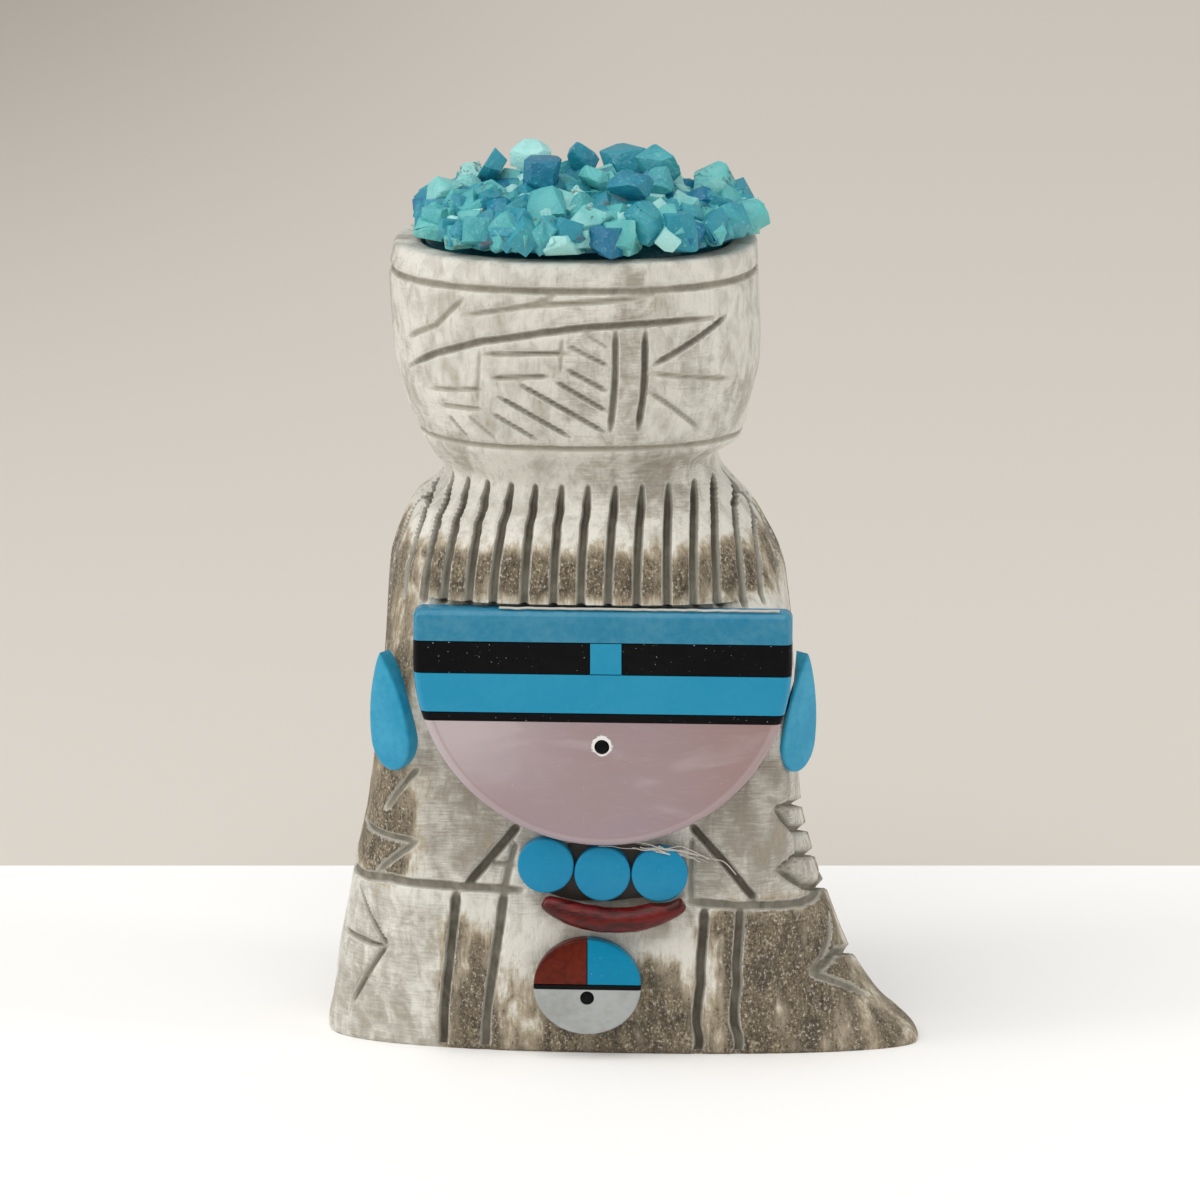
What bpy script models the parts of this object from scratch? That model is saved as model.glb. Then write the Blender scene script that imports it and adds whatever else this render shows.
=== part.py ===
"""A small antler carving of a robed woman who carries a pot heaped with turquoise chips.

Units are metres, +Z is up and the face looks along -Y. The origin lies on the flat underside,
below the middle of the body. The antler is one loft through cross-sections, cut by a flat front,
by the seats of the ears and by the carved grooves. The stones stand on the flat front.
"""

import math
import random

import bmesh
import bpy
from mathutils import Matrix, Vector

MM = 0.001

# Clearances: a stone stands off the antler by SEAT_GAP, and off the next stone by GLUE_LINE
SEAT_GAP = 0.3 * MM
GLUE_LINE = 0.1 * MM

# Face slab: one polished slab of stones, straight at the brow and round at the chin
SLAB_RADIUS = 20.05 * MM
SLAB_BROW = 5.5 * MM
SLAB_THICKNESS = 2.8 * MM
SLAB_CENTRE_X = -1.6 * MM
SLAB_CHAMFER = 0.7 * MM
CHIN_POINTS = 26
FOREHEAD_BAND = 3.4 * MM
EYE_BAND = 3.4 * MM
CHEEK_BAND = 4.25 * MM
DIVIDER_STRIP = 0.9 * MM
NOSE_WIDTH = 3.4 * MM
NOSE_OFFSET = 0.4 * MM
MOUTH_RADIUS = 0.7 * MM
MOUTH_DROP = 2.7 * MM
MOUTH_SIDES = 12

# Necklace discs, coral branch and pendant, stacked below the chin
DISC_RADIUS = 3.0 * MM
DISC_THICKNESS = 1.5 * MM
DISC_SIDES = 20
STONE_CHAMFER = 0.25 * MM
CORAL_HALF_SPAN = 7.5 * MM
CORAL_SAG = 2.0 * MM
CORAL_OFFSET = 1.2 * MM
CORAL_THICK_RADIUS = 1.45 * MM
CORAL_END_RADIUS = 0.8 * MM
CORAL_POINTS = 9
PENDANT_HALF_WIDTH = 5.75 * MM
PENDANT_HALF_HEIGHT = 5.25 * MM
PENDANT_THICKNESS = 1.6 * MM
PENDANT_OFFSET = -1.6 * MM
PENDANT_DROP = 0.7 * MM
PENDANT_MARGIN = 2.9 * MM
PENDANT_BAR = 0.5 * MM
PENDANT_DOT_RADIUS = 0.65 * MM
PENDANT_DOT_DROP = 0.95 * MM
PENDANT_SIDES = 36

# Heights along the flat front, from the underside up to the foot of the hair
PENDANT_HEIGHT = PENDANT_MARGIN + PENDANT_HALF_HEIGHT
CORAL_HEIGHT = PENDANT_HEIGHT + PENDANT_HALF_HEIGHT + PENDANT_DROP + CORAL_THICK_RADIUS
DISC_HEIGHT = CORAL_HEIGHT + CORAL_THICK_RADIUS + 2 * SEAT_GAP + DISC_RADIUS
CHIN_CENTRE = DISC_HEIGHT + DISC_RADIUS + SEAT_GAP + SLAB_RADIUS
SLAB_TOP = CHIN_CENTRE + SLAB_BROW

# Ears: drops turned outward, one glued to each side of the body beside the slab
EAR_WIDTH = 4.9 * MM
EAR_UPPER = 9.4 * MM
EAR_LOWER = 3.4 * MM
EAR_THICKNESS = 2.0 * MM
EAR_CHAMFER = 0.3 * MM
EAR_SUNK = 0.5 * MM
EAR_DROP = 14.8 * MM
EAR_LEAN = 8.0
EAR_LEFT_TURN = 30.0
EAR_RIGHT_TURN = 47.0
EAR_LEFT_INSET = 2.7 * MM
EAR_RIGHT_INSET = 0.3 * MM
EAR_ARC_POINTS = 6

# Antler carving, stacked from its underside: robe with face, hair, and the pot from neck to rim
ROBE_HEIGHT = SLAB_TOP + 2 * SEAT_GAP
HAIR_HEIGHT = 11.7 * MM
POT_HEIGHT = 24.6 * MM
POT_WALL = 3.0 * MM
POT_HOLLOW_DEPTH = 8.0 * MM
POT_FLOOR_SHARE = 0.8
POT_FLOOR_RISE = 0.4

# The flat front leans back: its depth at the underside and at the foot of the hair
FLAT_FOOT_DEPTH = 15.7 * MM
FLAT_TOP_DEPTH = 14.2 * MM

# Cross-sections of the free form. Each row: height as a share of its part, then in millimetres
# the left end (x, y), the right end (x, y), the front y and the back y, and last the powers that
# square the front's left and right quarter
ROBE_SECTIONS = (
    (0.000, -31.9, -6.0, 32.2, -8.2, -14.7, 10.0, 2.4, 2.2),
    (0.022, -31.9, -5.7, 31.5, -8.0, -14.9, 10.2, 2.4, 2.2),
    (0.075, -31.4, -5.2, 28.3, -7.0, -15.3, 10.8, 2.5, 2.2),
    (0.177, -30.8, -4.2, 24.6, -4.5, -16.0, 11.8, 2.6, 2.4),
    (0.280, -29.9, -3.2, 22.4, -3.0, -16.4, 12.6, 2.8, 2.8),
    (0.382, -29.0, -2.2, 20.4, -2.0, -16.8, 13.3, 3.2, 3.4),
    (0.497, -27.6, -1.2, 19.0, -1.0, -17.0, 14.0, 3.6, 5.0),
    (0.600, -26.9, -0.5, 18.7, -0.5, -17.1, 14.5, 4.0, 7.0),
    (0.840, -25.6, 0.0, 18.1, 0.0, -17.0, 15.0, 4.0, 7.0),
    (1.000, -25.2, 0.0, 17.2, 0.0, -16.6, 15.2, 3.2, 3.4),
)
HAIR_SECTIONS = (
    (0.000, -25.2, 0.0, 17.2, 0.0, -16.6, 15.2, 3.2, 3.4),
    (0.190, -25.0, 0.0, 16.6, 0.0, -16.6, 15.2, 3.1, 3.0),
    (0.460, -24.0, 0.0, 15.1, 0.0, -16.4, 14.8, 3.0, 2.8),
    (0.690, -22.5, 0.0, 13.4, 0.0, -14.7, 13.4, 2.7, 2.6),
    (0.840, -20.3, 0.0, 11.8, 0.0, -12.9, 12.0, 2.5, 2.5),
    (1.000, -19.4, 0.0, 10.3, 0.0, -11.2, 11.0, 2.4, 2.4),
)
POT_SECTIONS = (
    (0.000, -19.4, 0.0, 10.3, 0.0, -11.2, 11.0, 2.4, 2.4),
    (0.065, -20.5, 0.0, 9.9, 0.0, -11.6, 11.5, 2.4, 2.4),
    (0.165, -22.0, 0.0, 12.7, 0.0, -13.2, 13.0, 2.4, 2.4),
    (0.260, -22.9, 0.0, 13.2, 0.0, -14.2, 14.0, 2.4, 2.4),
    (0.500, -24.5, 0.0, 14.4, 0.0, -15.4, 15.0, 2.4, 2.4),
    (0.850, -25.2, 0.0, 14.1, 0.0, -15.5, 15.1, 2.4, 2.4),
    (1.000, -24.6, 0.0, 14.0, 0.0, -14.9, 14.7, 2.4, 2.4),
)
BACK_POWER = 2.4

# Carved grooves: a robe groove has sloping sides and a flat bottom, the others are V cuts
GROOVE_STEP = 6.0 * MM
FLAT_ANGLE = 1.0
LIFT = 0.5 * MM
HAIR_FLUTE_SPACING = 2.9 * MM
HAIR_BACK_SPACING = 4.2 * MM
HAIR_FLUTE_WIDTH = 1.0 * MM
HAIR_FLUTE_DEPTH = 0.9 * MM
FRINGE_RUN_OUT = 0.8 * MM
HAIR_BACK_RUN_OUT = 2.5 * MM
ROBE_GROOVE_WIDTH = 1.2 * MM
ROBE_GROOVE_BOTTOM = 0.6 * MM
ROBE_GROOVE_DEPTH = 0.6 * MM
POT_GROOVE_WIDTH = 0.8 * MM
POT_GROOVE_DEPTH = 0.4 * MM

# Strokes of the robe: x in millimetres and height as a share of the robe, from end to end
WAIST_SHARE = 0.355
WAIST_LEFT_X = -10.5
WAIST_RIGHT_X = 7.7
ROBE_STROKES = (
    ((-10.8, 0.503), (-16.1, 0.376)),
    ((-11.0, 0.463), (-12.1, 0.369)),
    ((-13.3, 0.423), (-11.0, 0.419)),
    ((7.9, 0.509), (14.6, 0.350)),
    ((7.9, 0.479), (7.8, 0.345)),
    ((8.3, 0.399), (10.8, 0.399)),
    ((-17.3, 0.353), (-19.1, -0.010)),
    ((-12.2, 0.353), (-14.6, -0.010)),
    ((9.2, 0.325), (8.2, -0.010)),
    ((13.1, 0.325), (12.5, -0.010)),
)
# Chevrons at the sides: apex (x, share), then the shares at which the arms run over the edge
CHEVRONS = (
    ((-21.4, 0.625), (0.510,)),
    ((-21.7, 0.467), (0.480, 0.360)),
    ((-25.0, 0.220), (0.350, 0.230, 0.060)),
    ((16.6, 0.549), (0.530, 0.440)),
    ((17.0, 0.407), (0.385, 0.295)),
    ((20.6, 0.168), (0.260, 0.178, 0.090)),
)

# Strokes of the pot: x in millimetres and height as a share of the pot
RING_SHARES = (0.180, 0.887)
POT_STROKES = (
    ((-16.5, 0.756), (-9.2, 0.813), (3.7, 0.858)),
    ((-16.3, 0.829), (-19.4, 0.695), (-22.5, 0.618)),
    ((-22.6, 0.480), (-19.3, 0.573), (-14.4, 0.646), (-7.8, 0.695), (-3.6, 0.720), (9.8, 0.732)),
    ((11.1, 0.732), (3.7, 0.553)),
    ((-0.3, 0.703), (-0.9, 0.256)),
    ((2.8, 0.700), (2.0, 0.256)),
    ((3.3, 0.516), (11.4, 0.455)),
    ((3.2, 0.435), (8.3, 0.244)),
    ((-14.1, 0.593), (-5.3, 0.610)),
    ((-13.4, 0.488), (-7.3, 0.508)),
    ((-20.0, 0.407), (-14.4, 0.435)),
    ((-18.9, 0.337), (-14.5, 0.341)),
)
# The hatching: parallel lines that fall to the right, stopped by an upright and by the foot
HATCH_LINES = 9
HATCH_TOP = 0.630
HATCH_PITCH = 0.096
HATCH_SLOPE = 0.024
HATCH_RIGHT_X = -1.3
HATCH_FOOT = 0.205
HATCH_START_SHARE = 0.695
HATCH_START_SLOPE = 0.028
HATCH_START_X = -3.6

# Turquoise chips heaped in the pot, on a bed that fills it and domes over its rim
HEAP_HEIGHT = 5.6 * MM
HEAP_OFFSET = 2.2 * MM
HEAP_LEAN = -3.0 * MM
HEAP_INSET = 3.8 * MM
HEAP_SIDES = 16
HEAP_LEVELS = (25.0, 50.0, 72.0)
LOOSE_SPOTS = 130
LOOSE_CHIPS = 39
LOOSE_STRIDE = 7
PACKED_SPOTS = 150
CHIP_SMALL = 2.4 * MM
CHIP_LARGE = 4.6 * MM
CHIP_TILT = 30.0
CHIP_SINK = 0.6 * MM
CHIP_CUTS = (2, 2, 3)
CHIP_CUT_LOW = 0.45
CHIP_CUT_HIGH = 0.75
LIFT_STEP = 0.1 * MM
MOST_LIFTS = 60
CHIP_SHRINKS = (1.0, 0.8, 0.64)
CHIP_SEED = 11

ROBE_TOP = ROBE_HEIGHT
NECK = ROBE_TOP + HAIR_HEIGHT
RIM = NECK + POT_HEIGHT
PARTS = (
    (0.0, ROBE_HEIGHT, ROBE_SECTIONS),
    (ROBE_TOP, HAIR_HEIGHT, HAIR_SECTIONS),
    (NECK, POT_HEIGHT, POT_SECTIONS),
)


def clear_scene():
    for item in list(bpy.data.objects):
        bpy.data.objects.remove(item, do_unlink=True)


def new_collection(name):
    made = bpy.data.collections.new(name)
    bpy.context.scene.collection.children.link(made)
    return made


clear_scene()
PIECES = new_collection("antler_corn_maiden")
CUTTERS = new_collection("cutters")
GROOVES = bpy.data.collections.new("groove_cutters")
CUTTERS.children.link(GROOVES)


def new_material(name, colour, roughness):
    made = bpy.data.materials.new(name)
    made.use_nodes = True
    shader = made.node_tree.nodes["Principled BSDF"]
    shader.inputs["Base Color"].default_value = (*colour, 1.0)
    shader.inputs["Roughness"].default_value = roughness
    shader.inputs["Metallic"].default_value = 0.0
    return made


ANTLER = new_material("antler", (0.52, 0.50, 0.44), 0.6)
TURQUOISE = new_material("turquoise", (0.05, 0.27, 0.42), 0.25)
CHIP_TURQUOISE = new_material("chip_turquoise", (0.06, 0.36, 0.42), 0.4)
JET = new_material("jet", (0.01, 0.01, 0.01), 0.15)
PINK_SHELL = new_material("pink_shell", (0.42, 0.28, 0.28), 0.25)
WHITE_SHELL = new_material("white_shell", (0.62, 0.63, 0.60), 0.25)
RED_CORAL = new_material("red_coral", (0.16, 0.012, 0.010), 0.15)


def new_object(name, mesh, collection, material=None):
    made = bpy.data.objects.new(name, mesh)
    collection.objects.link(made)
    if material:
        mesh.materials.append(material)
    if collection is not PIECES:
        made.hide_render = True
        made.display_type = "WIRE"
    return made


def mesh_of(name, shape):
    """A mesh from a bmesh, with its faces turned outward."""
    bmesh.ops.recalc_face_normals(shape, faces=shape.faces)
    mesh = bpy.data.meshes.new(name)
    shape.to_mesh(mesh)
    shape.free()
    return mesh


def skin(name, rings, looped=False):
    """A closed mesh through rings of equally many points, filled at both ends or looped round."""
    shape = bmesh.new()
    rows = [[shape.verts.new(point) for point in ring] for ring in rings]
    pairs = list(zip(rows, rows[1:]))
    if looped:
        pairs.append((rows[-1], rows[0]))
    else:
        shape.faces.new(rows[0])
        shape.faces.new(rows[-1])
    for low, high in pairs:
        for i in range(len(low)):
            j = (i + 1) % len(low)
            shape.faces.new((low[i], low[j], high[j], high[i]))
    return mesh_of(name, shape)


def add_boolean(target, cutter, operation="DIFFERENCE"):
    """A Boolean with one cutter, or with a collection of them."""
    modifier = target.modifiers.new(f"{operation.lower()}_{cutter.name}", "BOOLEAN")
    modifier.solver = "EXACT"
    modifier.operation = operation
    if isinstance(cutter, bpy.types.Collection):
        modifier.operand_type = "COLLECTION"
        modifier.collection = cutter
    else:
        modifier.object = cutter


def body_around(vertex):
    """The vertices that edges join to this one, itself included."""
    body, edge = {vertex}, [vertex]
    while edge:
        tip = edge.pop()
        fresh = {link.other_vert(tip) for link in tip.link_edges} - body
        body |= fresh
        edge.extend(fresh)
    return body


def finish(item):
    """Applies an object's modifiers, clears crumbs that crossing cuts leave, joins flat faces."""
    graph = bpy.context.evaluated_depsgraph_get()
    mesh = bpy.data.meshes.new_from_object(item.evaluated_get(graph))
    shape = bmesh.new()
    shape.from_mesh(mesh)
    bpy.data.meshes.remove(mesh)
    bodies, left = [], set(shape.verts)
    while left:
        bodies.append(body_around(next(iter(left))))
        left -= bodies[-1]
    bodies.sort(key=len)
    crumbs = [vertex for body in bodies[:-1] for vertex in body]
    bmesh.ops.delete(shape, geom=crumbs, context="VERTS")
    bmesh.ops.dissolve_limit(
        shape, angle_limit=math.radians(FLAT_ANGLE), verts=shape.verts, edges=shape.edges
    )
    shape.to_mesh(item.data)
    shape.free()
    item.modifiers.clear()


# The antler's surface

def section_at(height):
    """The section row at a height, in metres, by linear steps between the rows of its part."""
    for foot, length, rows in PARTS:
        share = min(max((height - foot) / length, 0.0), 1.0)
        if height <= foot + length or rows is POT_SECTIONS:
            break
    for low, high in zip(rows, rows[1:]):
        if share <= high[0]:
            break
    blend = (share - low[0]) / (high[0] - low[0])
    row = [a + (b - a) * blend for a, b in zip(low[1:], high[1:])]
    return [value * MM for value in row[:6]] + row[6:]


def row_heights():
    """The heights of all rows, from the underside to the rim."""
    return sorted({round(foot + length * row[0], 7) for foot, length, rows in PARTS for row in rows})


def flat_depth(height):
    """The y of the flat front at a height."""
    lean = (FLAT_FOOT_DEPTH - FLAT_TOP_DEPTH) * height / ROBE_HEIGHT
    return lean - FLAT_FOOT_DEPTH


def section_point(section, angle, inset=0.0):
    """A point of a section, 0 at its right end, a quarter turn at its back. inset moves it in."""
    left_x, left_y, right_x, right_y, front, back, left_power, right_power = section
    middle = (left_x + right_x) / 2
    across, depth = math.cos(angle), math.sin(angle)
    end_x, end_y = (right_x - inset, right_y) if across > 0 else (left_x + inset, left_y)
    side_y = back - inset if depth > 0 else front + inset
    power = BACK_POWER if depth > 0 else (right_power if across > 0 else left_power)
    share = (abs(across) ** power + abs(depth) ** power) ** (-1 / power)
    x = middle + (end_x - middle) * abs(across) * share
    y = end_y + (side_y - end_y) * abs(depth) * share
    return x, y


def surface_point(angle, height):
    """The carved surface, with the flat front taken off below the hair."""
    x, y = section_point(section_at(height), angle)
    if height < ROBE_TOP:
        y = max(y, flat_depth(height))
    return Vector((x, y, height))


def front_angle(x, height):
    """The angle at which the front of a section passes through x."""
    left_x, _, right_x, _, _, _, left_power, right_power = section_at(height)
    middle = (left_x + right_x) / 2
    right = x > middle
    end, power = (right_x, right_power) if right else (left_x, left_power)
    share = min(max(abs((x - middle) / (end - middle)), 1e-4), 1.0)
    turn = math.atan((share ** -power - 1) ** (1 / power))
    return -turn if right else turn - math.pi


def surface_normal(angle, height):
    step = 0.01
    rise = 0.3 * MM
    around = surface_point(angle + step, height) - surface_point(angle - step, height)
    low = max(height - rise, 0.0)
    up = surface_point(angle, low + 2 * rise) - surface_point(angle, low)
    return around.cross(up).normalized()


def front_depth(angle, height):
    """The y of the surface before the flat is taken off."""
    return section_point(section_at(height), angle)[1]


def hair_angles():
    """The angles of the hair flutes, by their spacings along the foot of the hair."""
    section = section_at(ROBE_TOP)
    steps = 720
    angles = [2 * math.pi * i / steps - math.pi / 2 for i in range(steps + 1)]
    spots = [Vector(section_point(section, angle)) for angle in angles]
    pitches = []
    for a, b in zip(spots, spots[1:]):
        spacing = HAIR_BACK_SPACING if a.y > 0 else HAIR_FLUTE_SPACING
        pitches.append((b - a).length / spacing)
    flutes = round(sum(pitches))
    share = sum(pitches) / flutes
    found, travelled = [], share / 2
    for angle, pitch in zip(angles, pitches):
        travelled += pitch
        if travelled >= share and len(found) < flutes:
            found.append(angle)
            travelled -= share
    return found


RING_ANGLES = [(a + b) / 2 for a, b in zip(hair_angles(), hair_angles()[1:])]
RING_ANGLES.append((hair_angles()[0] + hair_angles()[-1] + 2 * math.pi) / 2)


# Groove cutters

def groove_rings(route, width, depth, bottom, looped=False):
    """Cross-sections of a groove at (angle, height) points of the surface, a V where bottom is 0."""
    spots = [surface_point(*point) for point in route]
    half_top = width / 2 + (width - bottom) / 2 * LIFT / depth
    last = len(spots) - 1
    for i, (point, spot) in enumerate(zip(route, spots)):
        normal = surface_normal(*point)
        before = i - 1 if i or looped else 0
        after = (i + 1) % len(spots) if looped else min(i + 1, last)
        side = (spots[after] - spots[before]).cross(normal).normalized()
        top, low = spot + normal * LIFT, spot - normal * depth
        ring = [top - side * half_top, top + side * half_top]
        if bottom:
            ring += [low + side * bottom / 2, low - side * bottom / 2]
        else:
            ring.append(low)
        yield ring


def cutter_along(name, route, width, depth, bottom=0.0):
    """A groove cutter along straight runs between (angle, height) points."""
    points = []
    for start, end in zip(route, route[1:]):
        length = (surface_point(*end) - surface_point(*start)).length
        steps = max(1, math.ceil(length / GROOVE_STEP))
        points += [
            tuple(a + (b - a) * i / steps for a, b in zip(start, end))
            for i in range(steps)
        ]
    points.append(route[-1])
    rings = groove_rings(points, width, depth, bottom)
    return new_object(name, skin(name, rings), GROOVES)


def carve_hair():
    """Flutes from the neck down to the foot of the hair, a little lower at the back."""
    for i, angle in enumerate(hair_angles()):
        in_front = front_depth(angle, ROBE_TOP) < flat_depth(ROBE_TOP)
        foot = ROBE_TOP - (FRINGE_RUN_OUT if in_front else HAIR_BACK_RUN_OUT)
        levels = [height for height in row_heights() if foot < height < NECK]
        route = [(angle, height) for height in (foot, *levels, NECK)]
        name = f"hair_flute_{i + 1:02d}"
        rings = groove_rings(route, HAIR_FLUTE_WIDTH, HAIR_FLUTE_DEPTH, 0.0)
        new_object(name, skin(name, rings), GROOVES)


def robe_cutter(name, route):
    cutter_along(name, route, ROBE_GROOVE_WIDTH, ROBE_GROOVE_DEPTH, ROBE_GROOVE_BOTTOM)


def carve_robe():
    """The waist line round the back, the strokes of shawl and skirt, and the side chevrons."""
    waist = WAIST_SHARE * ROBE_HEIGHT
    start = front_angle(WAIST_RIGHT_X * MM, waist)
    end = front_angle(WAIST_LEFT_X * MM, waist) + 2 * math.pi
    turns = sorted(angle % (2 * math.pi) for angle in RING_ANGLES)
    turns = [angle - 2 * math.pi for angle in turns] + turns
    between = [angle for angle in turns if start < angle < end]
    robe_cutter("waist_line", [(angle, waist) for angle in (start, *between, end)])
    for i, stroke in enumerate(ROBE_STROKES):
        points = [(x * MM, share * ROBE_HEIGHT) for x, share in stroke]
        robe_cutter(f"robe_stroke_{i + 1:02d}", [(front_angle(x, z), z) for x, z in points])
    for i, ((x, share), arms) in enumerate(CHEVRONS):
        apex = (front_angle(x * MM, share * ROBE_HEIGHT), share * ROBE_HEIGHT)
        edge = 0.0 if x > 0 else -math.pi
        for j, arm in enumerate(arms):
            name = f"chevron_{i + 1}_{j + 1}"
            route = [apex, (edge, arm * ROBE_HEIGHT)]
            cutter_along(name, route, ROBE_GROOVE_WIDTH, ROBE_GROOVE_DEPTH)


def hatch_strokes():
    """The ends of the hatching lines, as (x, share) points."""
    for i in range(HATCH_LINES):
        level = HATCH_TOP - i * HATCH_PITCH
        rise = HATCH_START_SHARE - level + HATCH_START_SLOPE * (HATCH_RIGHT_X - HATCH_START_X)
        start_x = HATCH_RIGHT_X - rise / (HATCH_SLOPE + HATCH_START_SLOPE)
        end_x = HATCH_RIGHT_X - max(0.0, HATCH_FOOT - level) / HATCH_SLOPE
        yield tuple((x, level + (HATCH_RIGHT_X - x) * HATCH_SLOPE) for x in (start_x, end_x))


def carve_pot():
    """Two rings round the pot, the strokes of its front and the hatching between them."""
    for i, share in enumerate(RING_SHARES):
        route = [(angle, NECK + share * POT_HEIGHT) for angle in RING_ANGLES]
        rings = groove_rings(route, POT_GROOVE_WIDTH, POT_GROOVE_DEPTH, 0.0, looped=True)
        name = f"pot_ring_{i + 1}"
        new_object(name, skin(name, rings, looped=True), GROOVES)
    for i, stroke in enumerate((*POT_STROKES, *hatch_strokes())):
        points = [(x * MM, NECK + share * POT_HEIGHT) for x, share in stroke]
        route = [(front_angle(x, z), z) for x, z in points]
        cutter_along(f"pot_stroke_{i + 1:02d}", route, POT_GROOVE_WIDTH, POT_GROOVE_DEPTH)


# The antler

def flat_front_cutter():
    """The block in front of the flat, from below the underside to the foot of the hair."""
    reach = 2 * MM * max(row[3] for row in ROBE_SECTIONS)
    low = -LIFT
    rings = []
    for x in (-reach, reach):
        rings.append((
            Vector((x, flat_depth(low), low)),
            Vector((x, flat_depth(ROBE_TOP), ROBE_TOP)),
            Vector((x, -reach, ROBE_TOP)),
            Vector((x, -reach, low)),
        ))
    return new_object("flat_front_cutter", skin("flat_front_cutter", rings), CUTTERS)


def mouth_ring(angles, inset, height, share=1.0, offset=0.0):
    """A ring parallel to the pot's mouth, moved in from its outside by inset."""
    mouth = section_at(RIM)
    middle = Vector(((mouth[0] + mouth[2]) / 2, 0.0))
    spots = [Vector(section_point(mouth, angle, inset)) for angle in angles]
    shift = Vector((offset, 0.0))
    return [Vector((*(middle + (spot - middle) * share + shift), height)) for spot in spots]


def hollow_rings(angles, clearance):
    """The pot's hollow from its floor to the rim, with the clearance inside it."""
    inset = POT_WALL + clearance
    floor = RIM - POT_HOLLOW_DEPTH + clearance
    return [
        mouth_ring(angles, inset, floor, POT_FLOOR_SHARE),
        mouth_ring(angles, inset, floor + POT_HOLLOW_DEPTH * POT_FLOOR_RISE),
        mouth_ring(angles, inset, RIM + clearance),
    ]


def antler_rings():
    """The rings of the carving: up its outside, over the rim and down into the hollow."""
    rings = []
    for height in row_heights():
        section = section_at(height)
        points = [section_point(section, angle) for angle in RING_ANGLES]
        rings.append([Vector((x, y, height)) for x, y in points])
    return rings + hollow_rings(RING_ANGLES, 0.0)[::-1]


def make_antler():
    carving = new_object("antler_carving", skin("antler_carving", antler_rings()), PIECES, ANTLER)
    add_boolean(carving, flat_front_cutter())
    return carving


def carve(antler):
    """Cuts all grooves, after the seats."""
    carve_hair()
    carve_robe()
    carve_pot()
    add_boolean(antler, GROOVES)


# Stones on the flat front

def flat_frame():
    """An empty whose X and Z lie in the flat front and whose -Y points out of it."""
    frame = bpy.data.objects.new("flat_front", None)
    PIECES.objects.link(frame)
    frame.location = (0.0, -FLAT_FOOT_DEPTH, 0.0)
    lean = math.atan((FLAT_FOOT_DEPTH - FLAT_TOP_DEPTH) / ROBE_HEIGHT)
    frame.rotation_euler = (-lean, 0.0, 0.0)
    return frame


def plate(name, outline, thickness, chamfer, back=0.0):
    """A flat stone with its outline in XZ, its back at -back and a chamfer round its face."""
    curve = bpy.data.curves.new(name, "CURVE")
    curve.dimensions = "2D"
    curve.fill_mode = "BOTH"
    curve.extrude = thickness / 2
    spline = curve.splines.new("POLY")
    spline.points.add(len(outline) - 1)
    for point, (x, z) in zip(spline.points, outline):
        point.co = (x, z, 0.0, 1.0)
    spline.use_cyclic_u = True
    made = bpy.data.objects.new(name, curve)
    bpy.context.scene.collection.objects.link(made)
    graph = bpy.context.evaluated_depsgraph_get()
    mesh = bpy.data.meshes.new_from_object(made.evaluated_get(graph))
    bpy.data.objects.remove(made, do_unlink=True)
    shape = bmesh.new()
    shape.from_mesh(mesh)
    bpy.data.meshes.remove(mesh)
    bmesh.ops.remove_doubles(shape, verts=shape.verts, dist=MM / 1000)
    bmesh.ops.dissolve_limit(shape, angle_limit=0.01, verts=shape.verts, edges=shape.edges)
    stand = Matrix.Translation((0.0, -back - thickness / 2, 0.0)) @ Matrix.Rotation(math.pi / 2, 4, "X")
    bmesh.ops.transform(shape, matrix=stand, verts=shape.verts)
    face = -back - thickness + MM / 1000
    rim = [edge for edge in shape.edges if all(v.co.y < face for v in edge.verts)]
    if chamfer:
        bmesh.ops.bevel(shape, geom=rim, offset=chamfer, segments=1, affect="EDGES", profile=0.5, material=-1)
    return mesh_of(name, shape)


def slab_outline(grow=0.0):
    """The slab about the centre of its chin: a half disc below, straight sides above."""
    radius = SLAB_RADIUS + grow
    arc = [math.pi + math.pi * i / CHIN_POINTS for i in range(CHIN_POINTS + 1)]
    chin = [(radius * math.cos(angle), radius * math.sin(angle)) for angle in arc]
    return chin + [(radius, SLAB_BROW + grow), (-radius, SLAB_BROW + grow)]


def even_angles(count):
    return [2 * math.pi * i / count for i in range(count)]


def oval_outline(half_width, half_height, sides):
    return [(half_width * math.cos(a), half_height * math.sin(a)) for a in even_angles(sides)]


def block(name, low, high, collection):
    """A box between two corners."""
    shape = bmesh.new()
    low, high = Vector(low), Vector(high)
    place = Matrix.Translation((low + high) / 2) @ Matrix.Diagonal((*(high - low), 1.0))
    bmesh.ops.create_cube(shape, size=1.0, matrix=place)
    return new_object(name, mesh_of(name, shape), collection)


def drill(name, radius, sides, thickness, x, z, parent):
    """A round cutter through a stone of a thickness, along Y."""
    length = 4 * (SEAT_GAP + thickness)
    shape = bmesh.new()
    lie = Matrix.Rotation(math.pi / 2, 4, "X")
    bmesh.ops.create_cone(
        shape, cap_ends=True, segments=sides, radius1=radius, radius2=radius, depth=length, matrix=lie
    )
    made = new_object(name, mesh_of(name, shape), CUTTERS)
    made.location = (x, 0.0, z)
    made.parent = parent
    return made


def band_stone(name, blank, low, high, thickness, material):
    """The part of a blank between two corners (x, z), as a stone of its own."""
    reach = 2 * (SEAT_GAP + thickness)
    stone = block(name, (low[0], -reach, low[1]), (high[0], reach, high[1]), PIECES)
    stone.data.materials.append(material)
    stone.location = blank.location
    stone.parent = blank.parent
    add_boolean(stone, blank, "INTERSECT")
    return stone


def round_plug(name, radius, sides, thickness, x, z, parent, material):
    """A round stone set in another one."""
    mesh = plate(name, oval_outline(radius, radius, sides), thickness, 0.0, SEAT_GAP)
    plug = new_object(name, mesh, PIECES, material)
    plug.location = (x, 0.0, z)
    plug.parent = parent
    return plug


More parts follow.
